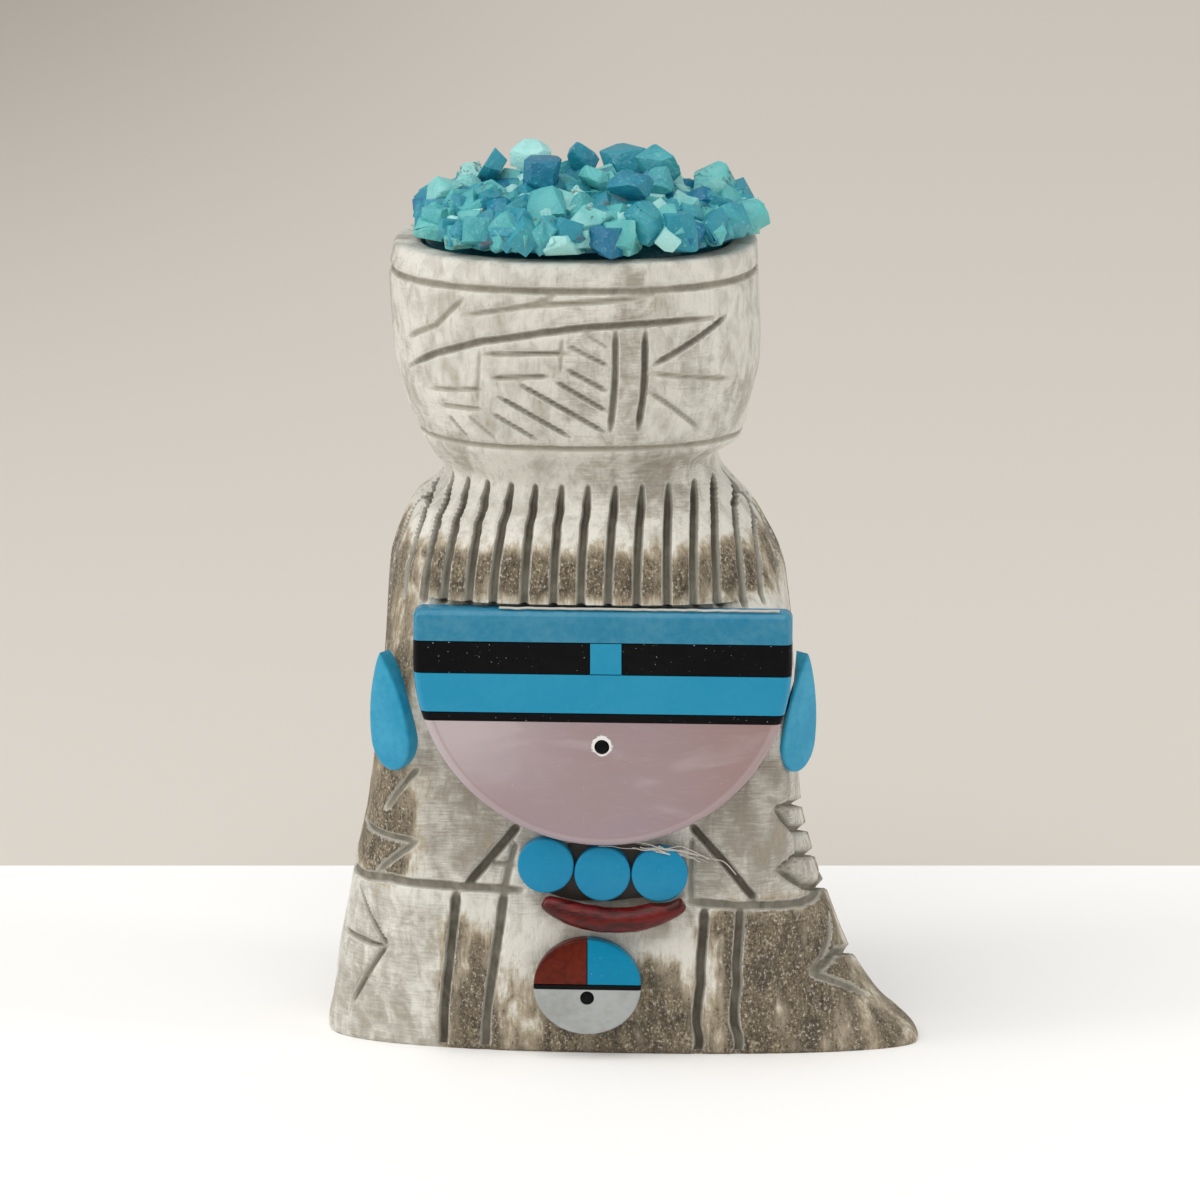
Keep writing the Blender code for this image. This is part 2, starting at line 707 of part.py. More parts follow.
def make_face(frame):
    """The slab, cut into its stones by their heights from the brow down."""
    blank_mesh = plate("slab_blank", slab_outline(), SLAB_THICKNESS, SLAB_CHAMFER, SEAT_GAP)
    blank = new_object("slab_blank", blank_mesh, CUTTERS)
    blank.location = (SLAB_CENTRE_X, 0.0, CHIN_CENTRE)
    blank.parent = frame
    side = SLAB_RADIUS + MM
    joint = GLUE_LINE / 2
    top = SLAB_BROW + MM
    eye_top = SLAB_BROW - FOREHEAD_BAND
    eye_foot = eye_top - EYE_BAND
    cheek_foot = eye_foot - CHEEK_BAND
    strip_foot = cheek_foot - DIVIDER_STRIP
    nose_left = NOSE_OFFSET - NOSE_WIDTH / 2
    nose_right = NOSE_OFFSET + NOSE_WIDTH / 2
    rows = (
        ("face_forehead_band", (-side, eye_top), (side, top), TURQUOISE),
        ("face_left_eye", (-side, eye_foot), (nose_left, eye_top), JET),
        ("face_nose_square", (nose_left, eye_foot), (nose_right, eye_top), TURQUOISE),
        ("face_right_eye", (nose_right, eye_foot), (side, eye_top), JET),
        ("face_cheek_band", (-side, cheek_foot), (side, eye_foot), TURQUOISE),
        ("face_divider_strip", (-side, strip_foot), (side, cheek_foot), JET),
        ("face_chin_shell", (-side, -side), (side, strip_foot), PINK_SHELL),
    )
    for name, (x1, z1), (x2, z2), material in rows:
        low, high = (x1 + joint, z1 + joint), (x2 - joint, z2 - joint)
        stone = band_stone(name, blank, low, high, SLAB_THICKNESS, material)
    mouth_x, mouth_z = SLAB_CENTRE_X, CHIN_CENTRE + strip_foot - MOUTH_DROP
    radius = MOUTH_RADIUS + GLUE_LINE
    hole = drill("mouth_drill", radius, MOUTH_SIDES, SLAB_THICKNESS, mouth_x, mouth_z, frame)
    add_boolean(stone, hole)
    round_plug(
        "face_mouth_dot", MOUTH_RADIUS, MOUTH_SIDES, SLAB_THICKNESS, mouth_x, mouth_z, frame, JET
    )


def disc_places():
    """The discs hang under the chin: two touch it, and the right one lies level with the middle."""
    reach = SLAB_RADIUS + SEAT_GAP + DISC_RADIUS
    pitch = 2 * DISC_RADIUS + GLUE_LINE
    swing = 2 * math.asin(pitch / (2 * reach))
    left = (SLAB_CENTRE_X - reach * math.sin(swing), CHIN_CENTRE - reach * math.cos(swing))
    middle = (SLAB_CENTRE_X, CHIN_CENTRE - reach)
    return {"left": left, "middle": middle, "right": (middle[0] + pitch, middle[1])}


def make_discs(frame):
    """The necklace discs, and for each a larger cutter that the coral is ground to."""
    outline = oval_outline(DISC_RADIUS, DISC_RADIUS, DISC_SIDES)
    cutters = []
    for side, (x, z) in disc_places().items():
        name = f"necklace_disc_{side}"
        mesh = plate(name, outline, DISC_THICKNESS, STONE_CHAMFER, SEAT_GAP)
        disc = new_object(name, mesh, PIECES, TURQUOISE)
        disc.location = (x, 0.0, z)
        disc.parent = frame
        radius = DISC_RADIUS + SEAT_GAP
        depth = 2 * CORAL_THICK_RADIUS
        cutters.append(drill(f"disc_clearance_{side}", radius, DISC_SIDES, depth, x, z, frame))
    return cutters


def make_coral(frame, clearances):
    """A bent stick, thick in the middle, that hangs under the discs like a smile."""
    curve = bpy.data.curves.new("coral_branch", "CURVE")
    curve.dimensions = "3D"
    curve.bevel_depth = 1.0
    curve.bevel_resolution = 2
    curve.use_fill_caps = True
    spline = curve.splines.new("POLY")
    spline.points.add(CORAL_POINTS - 1)
    for i, point in enumerate(spline.points):
        share = 2 * i / (CORAL_POINTS - 1) - 1
        rise = CORAL_SAG * share * share
        point.co = (share * CORAL_HALF_SPAN, 0.0, rise, 1.0)
        swell = 1 - share ** 4
        point.radius = CORAL_END_RADIUS + (CORAL_THICK_RADIUS - CORAL_END_RADIUS) * swell
    made = bpy.data.objects.new("coral_branch", curve)
    bpy.context.scene.collection.objects.link(made)
    graph = bpy.context.evaluated_depsgraph_get()
    mesh = bpy.data.meshes.new_from_object(made.evaluated_get(graph))
    bpy.data.objects.remove(made, do_unlink=True)
    shape = bmesh.new()
    shape.from_mesh(mesh)
    bpy.data.meshes.remove(mesh)
    bmesh.ops.remove_doubles(shape, verts=shape.verts, dist=MM / 1000)
    coral = new_object("coral_branch", mesh_of("coral_branch", shape), PIECES, RED_CORAL)
    x = SLAB_CENTRE_X + CORAL_OFFSET
    coral.location = (x, -SEAT_GAP - CORAL_THICK_RADIUS, CORAL_HEIGHT)
    coral.parent = frame
    for cutter in clearances:
        add_boolean(coral, cutter)


def make_pendant(frame):
    """An oval of two quarters over a bar and a shell half with a dot."""
    outline = oval_outline(PENDANT_HALF_WIDTH, PENDANT_HALF_HEIGHT, PENDANT_SIDES)
    mesh = plate("pendant_blank", outline, PENDANT_THICKNESS, STONE_CHAMFER, SEAT_GAP)
    blank = new_object("pendant_blank", mesh, CUTTERS)
    x = SLAB_CENTRE_X + PENDANT_OFFSET
    blank.location = (x, 0.0, PENDANT_HEIGHT)
    blank.parent = frame
    side = PENDANT_HALF_WIDTH + MM
    joint = GLUE_LINE / 2
    bar = PENDANT_BAR / 2
    rows = (
        ("pendant_coral_quarter", (-side, bar), (0.0, side), RED_CORAL),
        ("pendant_turquoise_quarter", (0.0, bar), (side, side), TURQUOISE),
        ("pendant_jet_bar", (-side, -bar), (side, bar), JET),
        ("pendant_shell_half", (-side, -side), (side, -bar), WHITE_SHELL),
    )
    for name, (x1, z1), (x2, z2), material in rows:
        low, high = (x1 + joint, z1 + joint), (x2 - joint, z2 - joint)
        stone = band_stone(name, blank, low, high, PENDANT_THICKNESS, material)
    dot_z = PENDANT_HEIGHT - bar - PENDANT_DOT_DROP
    radius = PENDANT_DOT_RADIUS
    hole = drill("pendant_drill", radius + GLUE_LINE, MOUTH_SIDES, PENDANT_THICKNESS, x, dot_z, frame)
    add_boolean(stone, hole)
    round_plug("pendant_jet_dot", radius, MOUTH_SIDES, PENDANT_THICKNESS, x, dot_z, frame, JET)


# Ears

def ear_outline(grow=0.0):
    """A drop about its widest point: pointed above, round below."""
    half, upper, lower = EAR_WIDTH / 2 + grow, EAR_UPPER + grow, EAR_LOWER + grow
    right = []
    for i in range(1, EAR_ARC_POINTS + 1):
        share = i / EAR_ARC_POINTS
        right.append((half * math.sin(share * math.pi / 2) ** 0.8, upper * (1 - share)))
    for i in range(1, EAR_ARC_POINTS):
        angle = math.pi / 2 * i / EAR_ARC_POINTS
        right.append((half * math.cos(angle), -lower * math.sin(angle)))
    left = [(-x, z) for x, z in reversed(right)]
    return [(0.0, upper), *right, (0.0, -lower), *left][::-1]


def make_ears(antler, slab_clearance):
    """An ear at each side, with a seat cut for it in the antler."""
    lean = math.atan((FLAT_FOOT_DEPTH - FLAT_TOP_DEPTH) / ROBE_HEIGHT)
    height = (SLAB_TOP - EAR_DROP) * math.cos(lean)
    section = section_at(height)
    sides = (
        ("left", section[0] + EAR_LEFT_INSET, -EAR_LEFT_TURN, -EAR_LEAN),
        ("right", section[2] - EAR_RIGHT_INSET, EAR_RIGHT_TURN, EAR_LEAN),
    )
    for side, x, turn, tilt in sides:
        spot = surface_point(front_angle(x, height), height)
        name = f"ear_{side}"
        mesh = plate(name, ear_outline(), EAR_THICKNESS, EAR_CHAMFER, -EAR_SUNK)
        ear = new_object(name, mesh, PIECES, TURQUOISE)
        outline = ear_outline(SEAT_GAP)
        seat_mesh = plate(f"{name}_seat", outline, EAR_UPPER, 0.0, -EAR_SUNK - SEAT_GAP)
        seat = new_object(f"{name}_seat", seat_mesh, CUTTERS)
        for item in (ear, seat):
            item.location = spot
            item.rotation_euler = (0.0, math.radians(tilt), math.radians(turn))
        add_boolean(antler, seat)
        add_boolean(ear, slab_clearance)


def make_slab_clearance(frame):
    """The slab's outline with a clearance, which the ears are ground to."""
    mesh = plate("slab_clearance", slab_outline(SEAT_GAP), EAR_UPPER, 0.0, 0.0)
    made = new_object("slab_clearance", mesh, CUTTERS)
    made.location = (SLAB_CENTRE_X, 0.0, CHIN_CENTRE)
    made.parent = frame
    return made


# The heap of chips

class Chip:
    """A sawn and broken chip: a block with some of its corners struck off."""

    def __init__(self, rng, spot, outward):
        size = rng.uniform(CHIP_SMALL, CHIP_LARGE)
        self.spot = spot
        self.outward = outward
        self.half = Vector((0.5, rng.uniform(0.33, 0.47), rng.uniform(0.27, 0.4))) * size
        tilt = Matrix.Rotation(math.radians(rng.gauss(0.0, CHIP_TILT)), 3, "X")
        spin = Matrix.Rotation(rng.uniform(0.0, 2 * math.pi), 3, "Z")
        twist = Matrix.Rotation(rng.uniform(0.0, 2 * math.pi), 3, "Z")
        self.turn = outward.to_track_quat("Z", "Y").to_matrix() @ spin @ tilt @ twist
        self.cuts = []
        for _ in range(rng.choice(CHIP_CUTS)):
            corner = Vector([rng.choice((-1, 1)) * rng.uniform(0.2, 1.0) for _ in range(3)])
            normal = corner.normalized()
            reach = sum(abs(n) * h for n, h in zip(normal, self.half))
            self.cuts.append((normal, rng.uniform(CHIP_CUT_LOW, CHIP_CUT_HIGH) * reach))

    def shrink(self, share):
        self.half = self.half * share
        self.cuts = [(normal, distance * share) for normal, distance in self.cuts]

    def shape(self):
        """The chip as a closed body, in place."""
        shape = bmesh.new()
        bmesh.ops.create_cube(shape, size=1.0, matrix=Matrix.Diagonal((*(2 * self.half), 1.0)))
        for normal, distance in self.cuts:
            geometry = [*shape.verts, *shape.edges, *shape.faces]
            found = bmesh.ops.bisect_plane(
                shape, geom=geometry, plane_co=normal * distance, plane_no=normal, clear_outer=True
            )
            edges = [item for item in found["geom_cut"] if isinstance(item, bmesh.types.BMEdge)]
            bmesh.ops.edgeloop_fill(shape, edges=edges)
        place = Matrix.Translation(self.spot) @ self.turn.to_4x4()
        bmesh.ops.transform(shape, matrix=place, verts=shape.verts)
        return shape


def faces_of(shape):
    """The corners of a convex body and the directions of its faces."""
    shape.normal_update()
    corners = [vertex.co.copy() for vertex in shape.verts]
    normals = [face.normal.copy() for face in shape.faces]
    shape.free()
    return corners, normals


def apart(first, second):
    """Whether a face of either convex body parts the two by the clearance."""
    for (corners, normals), (others, _) in ((first, second), (second, first)):
        for normal in normals:
            reach = max(normal.dot(corner) for corner in corners)
            if min(normal.dot(corner) for corner in others) > reach + SEAT_GAP:
                return True
    return False


def rooted(chip, dome):
    """Whether a corner of a chip lies well inside the dome."""
    corners, normals = dome
    reaches = [max(normal.dot(corner) for corner in corners) - SEAT_GAP for normal in normals]
    return any(
        all(normal.dot(corner) < reach for normal, reach in zip(normals, reaches))
        for corner in chip[0]
    )


def dome_rings():
    """The dome of the bed over the rim, which leans to one side."""
    angles = even_angles(HEAP_SIDES)
    foot = RIM + SEAT_GAP
    rings = [mouth_ring(angles, HEAP_INSET, foot, 1.0, HEAP_OFFSET)]
    for degrees in HEAP_LEVELS:
        angle = math.radians(degrees)
        rise = math.sin(angle)
        shift = HEAP_OFFSET + HEAP_LEAN * rise
        rings.append(mouth_ring(angles, HEAP_INSET, foot + HEAP_HEIGHT * rise, math.cos(angle), shift))
    return rings


def scatter(rng, count):
    """Chips spread evenly over the dome by the golden angle, from its top down."""
    mouth = section_at(RIM)
    middle = (mouth[0] + mouth[2]) / 2
    wide, deep = (mouth[2] - mouth[0]) / 2 - HEAP_INSET, mouth[5] - HEAP_INSET
    golden = math.pi * (3 - math.sqrt(5))
    for i in range(count):
        rise = 1 - (i + 0.5) / count
        x, y = section_point(mouth, golden * i, HEAP_INSET)
        level = math.sqrt(1 - rise * rise)
        x, y = (x - middle) * level, y * level
        shift = HEAP_OFFSET + HEAP_LEAN * rise
        spot = Vector((middle + shift + x, y, RIM + HEAP_HEIGHT * rise))
        steep = max(0.0, rise - HEAP_LEAN * x / wide ** 2) / HEAP_HEIGHT
        outward = Vector((x / wide ** 2, y / deep ** 2, steep))
        yield Chip(rng, spot, outward.normalized())


def settle(chip, others):
    """Lifts a chip clear of the rim and of other bodies, and returns its corners and faces."""
    facts = faces_of(chip.shape())
    chip.spot.z += max(0.0, RIM + 2 * SEAT_GAP - min(corner.z for corner in facts[0]))
    for _ in range(MOST_LIFTS):
        facts = faces_of(chip.shape())
        if all(apart(facts, other) for other in others):
            break
        chip.spot += chip.outward * LIFT_STEP
    return facts


def make_heap():
    """The loose chips as pieces of their own, and the rest fused with the bed below them."""
    dome_mesh = skin("dome", dome_rings())
    dome = bmesh.new()
    dome.from_mesh(dome_mesh)
    bpy.data.meshes.remove(dome_mesh)
    dome_facts = faces_of(dome)
    rng = random.Random(CHIP_SEED)
    chips = list(scatter(rng, LOOSE_SPOTS))
    loose, measured = [], []
    for i in range(LOOSE_SPOTS):
        chip = chips[i * LOOSE_STRIDE % LOOSE_SPOTS]
        facts = settle(chip, [dome_facts])
        if len(loose) < LOOSE_CHIPS and all(apart(facts, other) for other in measured):
            loose.append(chip)
            measured.append(facts)
    fused = bpy.data.collections.new("packed_chips")
    CUTTERS.children.link(fused)
    for i, chip in enumerate(scatter(rng, PACKED_SPOTS)):
        chip.spot -= chip.outward * CHIP_SINK
        for share in CHIP_SHRINKS:
            chip.shrink(share)
            facts = settle(chip, [])
            if rooted(facts, dome_facts) and all(apart(facts, other) for other in measured):
                name = f"packed_chip_{i + 1:03d}"
                new_object(name, mesh_of(name, chip.shape()), fused)
                break
    for i, chip in enumerate(loose):
        name = f"turquoise_chip_{i + 1:02d}"
        new_object(name, mesh_of(name, chip.shape()), PIECES, CHIP_TURQUOISE)
    rings = hollow_rings(even_angles(HEAP_SIDES), SEAT_GAP) + dome_rings()
    bed = new_object("turquoise_chip_bed", skin("turquoise_chip_bed", rings), PIECES, CHIP_TURQUOISE)
    add_boolean(bed, fused, "UNION")


def main():
    antler = make_antler()
    frame = flat_frame()
    make_face(frame)
    make_coral(frame, make_discs(frame))
    make_pendant(frame)
    make_ears(antler, make_slab_clearance(frame))
    carve(antler)
    finish(antler)
    make_heap()


main()
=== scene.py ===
"""Looks of a small antler carving: a robed woman with inlaid stones and a pot of turquoise chips.

Sizes are millimetres until they reach a mesh, which is in metres, in the frame of the solids.
+Z is up and the face looks along -Y.
"""
from __future__ import annotations

import logging
import math
import random
from collections.abc import Callable, Iterable, Iterator, Sequence
from dataclasses import dataclass, field
from enum import Enum

import bmesh
import bpy
import numpy as np
from mathutils import Matrix, Vector, noise


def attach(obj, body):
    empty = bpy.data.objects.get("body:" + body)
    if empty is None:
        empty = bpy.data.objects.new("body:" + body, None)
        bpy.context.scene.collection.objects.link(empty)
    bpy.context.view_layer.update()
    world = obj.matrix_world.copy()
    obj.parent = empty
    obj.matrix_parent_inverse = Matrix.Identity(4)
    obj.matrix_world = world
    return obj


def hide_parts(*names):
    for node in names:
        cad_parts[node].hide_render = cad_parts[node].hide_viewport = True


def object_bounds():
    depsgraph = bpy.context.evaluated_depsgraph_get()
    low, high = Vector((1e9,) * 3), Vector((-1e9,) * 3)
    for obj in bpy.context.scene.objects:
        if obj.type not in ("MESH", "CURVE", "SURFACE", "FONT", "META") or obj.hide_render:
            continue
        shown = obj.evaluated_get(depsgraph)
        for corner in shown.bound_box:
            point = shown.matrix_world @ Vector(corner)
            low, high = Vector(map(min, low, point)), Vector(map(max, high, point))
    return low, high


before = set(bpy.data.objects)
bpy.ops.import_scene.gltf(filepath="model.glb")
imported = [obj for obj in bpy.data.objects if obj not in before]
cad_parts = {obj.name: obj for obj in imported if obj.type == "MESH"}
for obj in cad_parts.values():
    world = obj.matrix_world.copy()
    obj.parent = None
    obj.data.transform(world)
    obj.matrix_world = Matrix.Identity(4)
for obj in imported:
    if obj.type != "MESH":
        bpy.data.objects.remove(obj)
CAD_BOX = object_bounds()
LOG = logging.getLogger("corn_maiden")

MM = 0.001
BODY = "root"
GOLDEN_ANGLE = math.pi * (3 - math.sqrt(5))
WELD = 0.001
SHARP_EDGE = 35.0

# Heights of the carving's parts and the lean of its flat front
ROBE_TOP = 50.05
NECK = 61.75
RIM = 86.35
FLAT_FOOT = 15.7
FLAT_TOP = 14.2
SEAT_GAP = 0.3
GLUE_LINE = 0.1
DRILL_LENGTH = 40.0
LEAN = math.atan((FLAT_FOOT - FLAT_TOP) / ROBE_TOP)


def linear(red: int, green: int, blue: int) -> tuple[float, float, float, float]:
    """Turns a display colour of 0 to 255 into a shader colour.

    Args:
        red: Display red.
        green: Display green.
        blue: Display blue.

    Returns:
        The colour in linear light, with full alpha.
    """
    def channel(value: int) -> float:
        """Linear light of one display channel."""
        share = value / 255
        return share / 12.92 if share <= 0.04045 else ((share + 0.055) / 1.055) ** 2.4

    return channel(red), channel(green), channel(blue), 1.0


def arithmetic(operation: str, swapped: bool = False) -> Callable[..., Signal]:
    """Makes a method of Signal that adds a Math node.

    Args:
        operation: The Math node's operation.
        swapped: Whether the other value comes first.

    Returns:
        The method.
    """
    def method(self: Signal, *others: Value) -> Signal:
        """The Math node's value."""
        values = (*others, self) if swapped else (self, *others)
        return self.web.math(operation, *values)

    return method


class Signal:
    """A shader value in an expression: arithmetic on it adds Math nodes."""

    __add__ = __radd__ = arithmetic("ADD")
    __sub__ = arithmetic("SUBTRACT")
    __rsub__ = arithmetic("SUBTRACT", True)
    __mul__ = __rmul__ = arithmetic("MULTIPLY")
    __truediv__ = arithmetic("DIVIDE")
    __pow__ = arithmetic("POWER")
    __abs__ = arithmetic("ABSOLUTE")

    def __init__(self, web: Web, socket: bpy.types.NodeSocket) -> None:
        """Wraps an output socket.

        Args:
            web: The node web that the socket is in.
            socket: The output socket.
        """
        self.web = web
        self.socket = socket


Value = Signal | float
Colour = Signal | tuple[float, float, float, float]


class Web:
    """The node web of one material, with a Principled shader at its end."""

    def __init__(self, name: str) -> None:
        """Makes the material.

        Args:
            name: The material's name.
        """
        self.material = bpy.data.materials.new(name)
        self.material.use_nodes = True
        self.nodes = self.material.node_tree.nodes
        self.links = self.material.node_tree.links
        self.shader = self.nodes["Principled BSDF"]
        place = self.add("ShaderNodeTexCoord", {}, {}).outputs["Object"]
        self.place = self.vector("SCALE", Signal(self, place), scale=1 / MM)

    def add(self, kind: str, settings: dict[str, object], inputs: dict[object, object]) -> bpy.types.Node:
        """Adds a node.

        Args:
            kind: The node's type.
            settings: Its properties, which are set first.
            inputs: Values or signals by socket name or number.

        Returns:
            The node.
        """
        node = self.nodes.new(kind)
        for key, value in settings.items():
            setattr(node, key, value)
        for key, value in inputs.items():
            self.feed(node.inputs[key], value)
        return node

    def feed(self, socket: bpy.types.NodeSocket, value: object) -> None:
        """Sets or links an input socket.

        Args:
            socket: The input socket.
            value: A signal, a number or a tuple.
        """
        if isinstance(value, Signal):
            self.links.new(value.socket, socket)
        else:
            socket.default_value = value

    def math(self, operation: str, *values: Value) -> Signal:
        """Adds a Math node.

        Args:
            operation: Its operation.
            *values: Its inputs in order.

        Returns:
            Its value.
        """
        node = self.add("ShaderNodeMath", {"operation": operation}, dict(enumerate(values)))
        return Signal(self, node.outputs[0])

    def vector(self, operation: str, *values: object, scale: float | None = None) -> Signal:
        """Adds a Vector Math node.

        Args:
            operation: Its operation.
            *values: Its vectors in order.
            scale: The number for SCALE.

        Returns:
            Its vector.
        """
        inputs: dict[object, object] = dict(enumerate(values))
        if scale is not None:
            inputs["Scale"] = scale
        node = self.add("ShaderNodeVectorMath", {"operation": operation}, inputs)
        return Signal(self, node.outputs[0])

    def axes(self) -> tuple[Signal, Signal, Signal]:
        """The place in millimetres, as three numbers."""
        node = self.add("ShaderNodeSeparateXYZ", {}, {0: self.place})
        return tuple(Signal(self, output) for output in node.outputs)

    def attribute(self, name: str) -> Signal:
        """A number that the mesh carries.

        Args:
            name: The attribute's name.

        Returns:
            Its value.
        """
        node = self.add("ShaderNodeAttribute", {"attribute_name": name}, {})
        return Signal(self, node.outputs["Fac"])

    def noise(self, stretch: tuple[float, float, float], detail: float = 4.0, rough: float = 0.5,
              bend: float = 0.0, shift: tuple[float, float, float] = (0.0, 0.0, 0.0)) -> Signal:
        """Soft noise from 0 to 1 over the place in millimetres.

        Args:
            stretch: Cycles per millimetre along X, Y and Z.
            detail: Octaves.
            rough: How strong the fine octaves are.
            bend: Distortion.
            shift: Where in the noise to look.

        Returns:
            The noise.
        """
        point = self.vector("MULTIPLY_ADD", self.place, stretch, shift)
        inputs = {"Vector": point, "Scale": 1.0, "Detail": detail, "Roughness": rough, "Distortion": bend}
        node = self.add("ShaderNodeTexNoise", {}, inputs)
        return Signal(self, node.outputs[0])

    def step(self, value: Value, low: float, high: float, top: float = 1.0) -> Signal:
        """A soft step from 0 at low to top at high. low may be the larger.

        Args:
            value: What is stepped.
            low: Where the step starts.
            high: Where it ends.
            top: Its height.

        Returns:
            The step.
        """
        inputs = {"Value": value, "From Min": low, "From Max": high, "To Min": 0.0, "To Max": top}
        node = self.add("ShaderNodeMapRange", {"interpolation_type": "SMOOTHSTEP"}, inputs)
        return Signal(self, node.outputs[0])

    def mix(self, share: Value, first: Colour, second: Colour) -> Signal:
        """Mixes two colours.

        Args:
            share: How much of the second.
            first: The first colour.
            second: The second colour.

        Returns:
            The mixed colour.
        """
        node = self.add("ShaderNodeMix", {"data_type": "RGBA"}, {0: share, 6: first, 7: second})
        return Signal(self, node.outputs[2])

    def finish(self, colour: Colour, roughness: Value, height: Value | None = None,
               fixed: dict[str, float] | None = None) -> bpy.types.Material:
        """Feeds the shader.

        Args:
            colour: Base colour.
            roughness: Roughness.
            height: Relief in millimetres, for the bump.
            fixed: Numbers for other sockets of the shader.

        Returns:
            The material.
        """
        self.feed(self.shader.inputs["Base Color"], colour)
        self.feed(self.shader.inputs["Roughness"], roughness)
        for key, value in (fixed or {}).items():
            self.shader.inputs[key].default_value = value
        if height is not None:
            bump = self.add("ShaderNodeBump", {}, {"Strength": 1.0, "Distance": MM, "Height": height})
            self.links.new(bump.outputs["Normal"], self.shader.inputs["Normal"])
        return self.material


@dataclass(frozen=True)
class AntlerFinish:
    """Sanded antler, white and smoky, with brown pitted bark and greyish carved lines, whose bottoms are
    darkened as painted shade and whose lips and flanks are lightened as painted highlight.
    """

    name: str = "carved_antler"
    ivory: tuple = linear(218, 215, 205)
    cloud: tuple = linear(186, 183, 172)
    smoke_and_shade: tuple = linear(136, 127, 114)
    tan: tuple = linear(170, 155, 128)
    brown: tuple = linear(112, 99, 79)
    umber: tuple = linear(40, 34, 27)
    moss: tuple = linear(146, 133, 106)
    glint_highlight: tuple = linear(198, 191, 177)
    line_pale: tuple = linear(168, 163, 148)
    line_dark: tuple = linear(76, 69, 57)
    lip_highlight: tuple = linear(232, 230, 220)

    def build(self) -> bpy.types.Material:
        """Makes the material."""
        web = Web(self.name)
        edge = web.attribute("line_edge")
        tone = web.attribute("line_tone")
        bark = web.attribute("bark")
        smoke_and_shade = web.attribute("smoke_and_shade")
        cloud = web.noise((0.17, 0.17, 0.12), 2.0, 0.55, 0.6)
        veil = web.noise((0.55, 0.55, 0.36), 4.0, 0.62, 0.6, (5.0, 2.0, 9.0))
        streak = web.noise((2.4, 2.4, 0.34), 3.0, 0.66, 0.3)
        scratch = web.noise((0.45, 0.8, 5.0), 3.0, 0.7, 0.6)
        fine = web.noise((3.6, 3.6, 2.8), 3.0, 0.75)
        base = web.mix(web.step(cloud * 0.5 + veil * 0.5, 0.42, 0.62), self.ivory, self.cloud)
        base = web.mix(web.step(streak, 0.50, 0.78, 0.30), base, self.smoke_and_shade)
        base = web.mix(web.step(scratch, 0.55, 0.80, 0.18), base, self.smoke_and_shade)
        haze = smoke_and_shade + (veil - 0.5) * 0.9 + (scratch - 0.5) * 1.0 + (cloud - 0.5) * 0.8
        base = web.mix(web.step(haze, 0.12, 1.05, 0.90), base, self.smoke_and_shade)
        depth = bark + (cloud - 0.5) * 0.7 + (veil - 0.5) * 1.1 + (streak - 0.5) * 0.7 + (fine - 0.5) * 0.4
        skin = web.mix(web.step(depth, 0.12, 0.50, 0.85), base, self.tan)
        skin = web.mix(web.step(depth, 0.36, 0.84), skin, self.brown)
        mossy = web.step(veil * 0.6 + cloud * 0.4, 0.50, 0.64, 0.6) * web.step(depth, 0.4, 0.8)
        skin = web.mix(mossy, skin, self.moss)
        mottle = web.step(veil * 0.6 + streak * 0.4, 0.55, 0.39) * web.step(depth, 0.36, 0.80)
        skin = web.mix(mottle * 0.62, skin, self.umber)
        pit = web.step(fine, 0.48, 0.36) * web.step(depth, 0.32, 0.72)
        skin = web.mix(pit * 0.8, skin, self.umber)
        # Painted highlight: small light glint specks on the bark.
        glint = web.step(fine, 0.56, 0.64, 0.72) * web.step(depth, 0.5, 0.9)
        skin = web.mix(glint, skin, self.glint_highlight)
        ragged = edge + (veil - 0.5) * 0.06 + (fine - 0.5) * 0.08
        # Painted highlight: a whitish line along the lips of the carved lines.
        lip = web.step(abs(ragged - 0.04), 0.09, 0.02, 0.55) * web.step(fine * 0.5 + veil * 0.5, 0.40, 0.60)
        skin = web.mix(lip * web.step(tone, 0.15, 0.7), skin, self.lip_highlight)
        # Groove colour, darker with the line's tone; the flanks are mixed toward the painted highlight and
        # the bottom stays darker, as painted shade in the groove.
        dust = web.mix(web.step(tone + (veil - 0.5) * 0.7, 0.12, 1.0), self.line_pale, self.line_dark)
        flank = web.mix(0.28, dust, self.lip_highlight)
        cut = web.mix(web.step(ragged, -0.08, -0.26), flank, dust)
        inside = web.step(ragged, 0.03, -0.06)
        colour = web.mix(inside * web.step(tone, -0.2, 0.4), skin, cut)
        roughness = 0.42 + web.step(depth, 0.3, 0.7, 0.30) + inside * 0.18
        height = streak * 0.05 + fine * 0.10
        return web.finish(colour, roughness, height, {"Specular IOR Level": 0.45})


@dataclass(frozen=True)
class StoneFinish:
    """A polished opaque stone: a base colour, a cloud in it, dust specks and fine scratches."""

    name: str
    base: tuple
    cloud: tuple
    fleck: tuple = linear(210, 218, 220)
    flecks: float = 0.0
    roughness: float = 0.16
    scratch: float = 0.5
    shine: float = 0.35

    def build(self) -> bpy.types.Material:
        """Makes the material."""
        web = Web(self.name)
        soft = web.noise((0.16, 0.3, 0.22), 4.0, 0.6)
        mottle = web.noise((1.4, 1.4, 1.4), 5.0, 0.6)
        rub = web.noise((0.9, 0.9, 7.0), 3.0, 0.6, 0.5)
        colour = web.mix(web.step(soft * 0.6 + mottle * 0.4, 0.36, 0.66), self.base, self.cloud)
        dust = web.noise((5.2, 5.2, 5.2), 1.0, 0.5, 0.0, (3.7, 1.3, 8.1))
        spot = web.step(dust, 0.80 - 0.05 * self.flecks, 0.84 - 0.05 * self.flecks)
        colour = web.mix(spot * min(1.0, self.flecks), colour, self.fleck)
        rough = self.roughness + web.step(rub, 0.50, 0.80, 0.16 * self.scratch) + spot * 0.2
        height = rub * 0.012 * self.scratch + mottle * 0.012
        return web.finish(colour, rough, height, {"Specular IOR Level": self.shine})


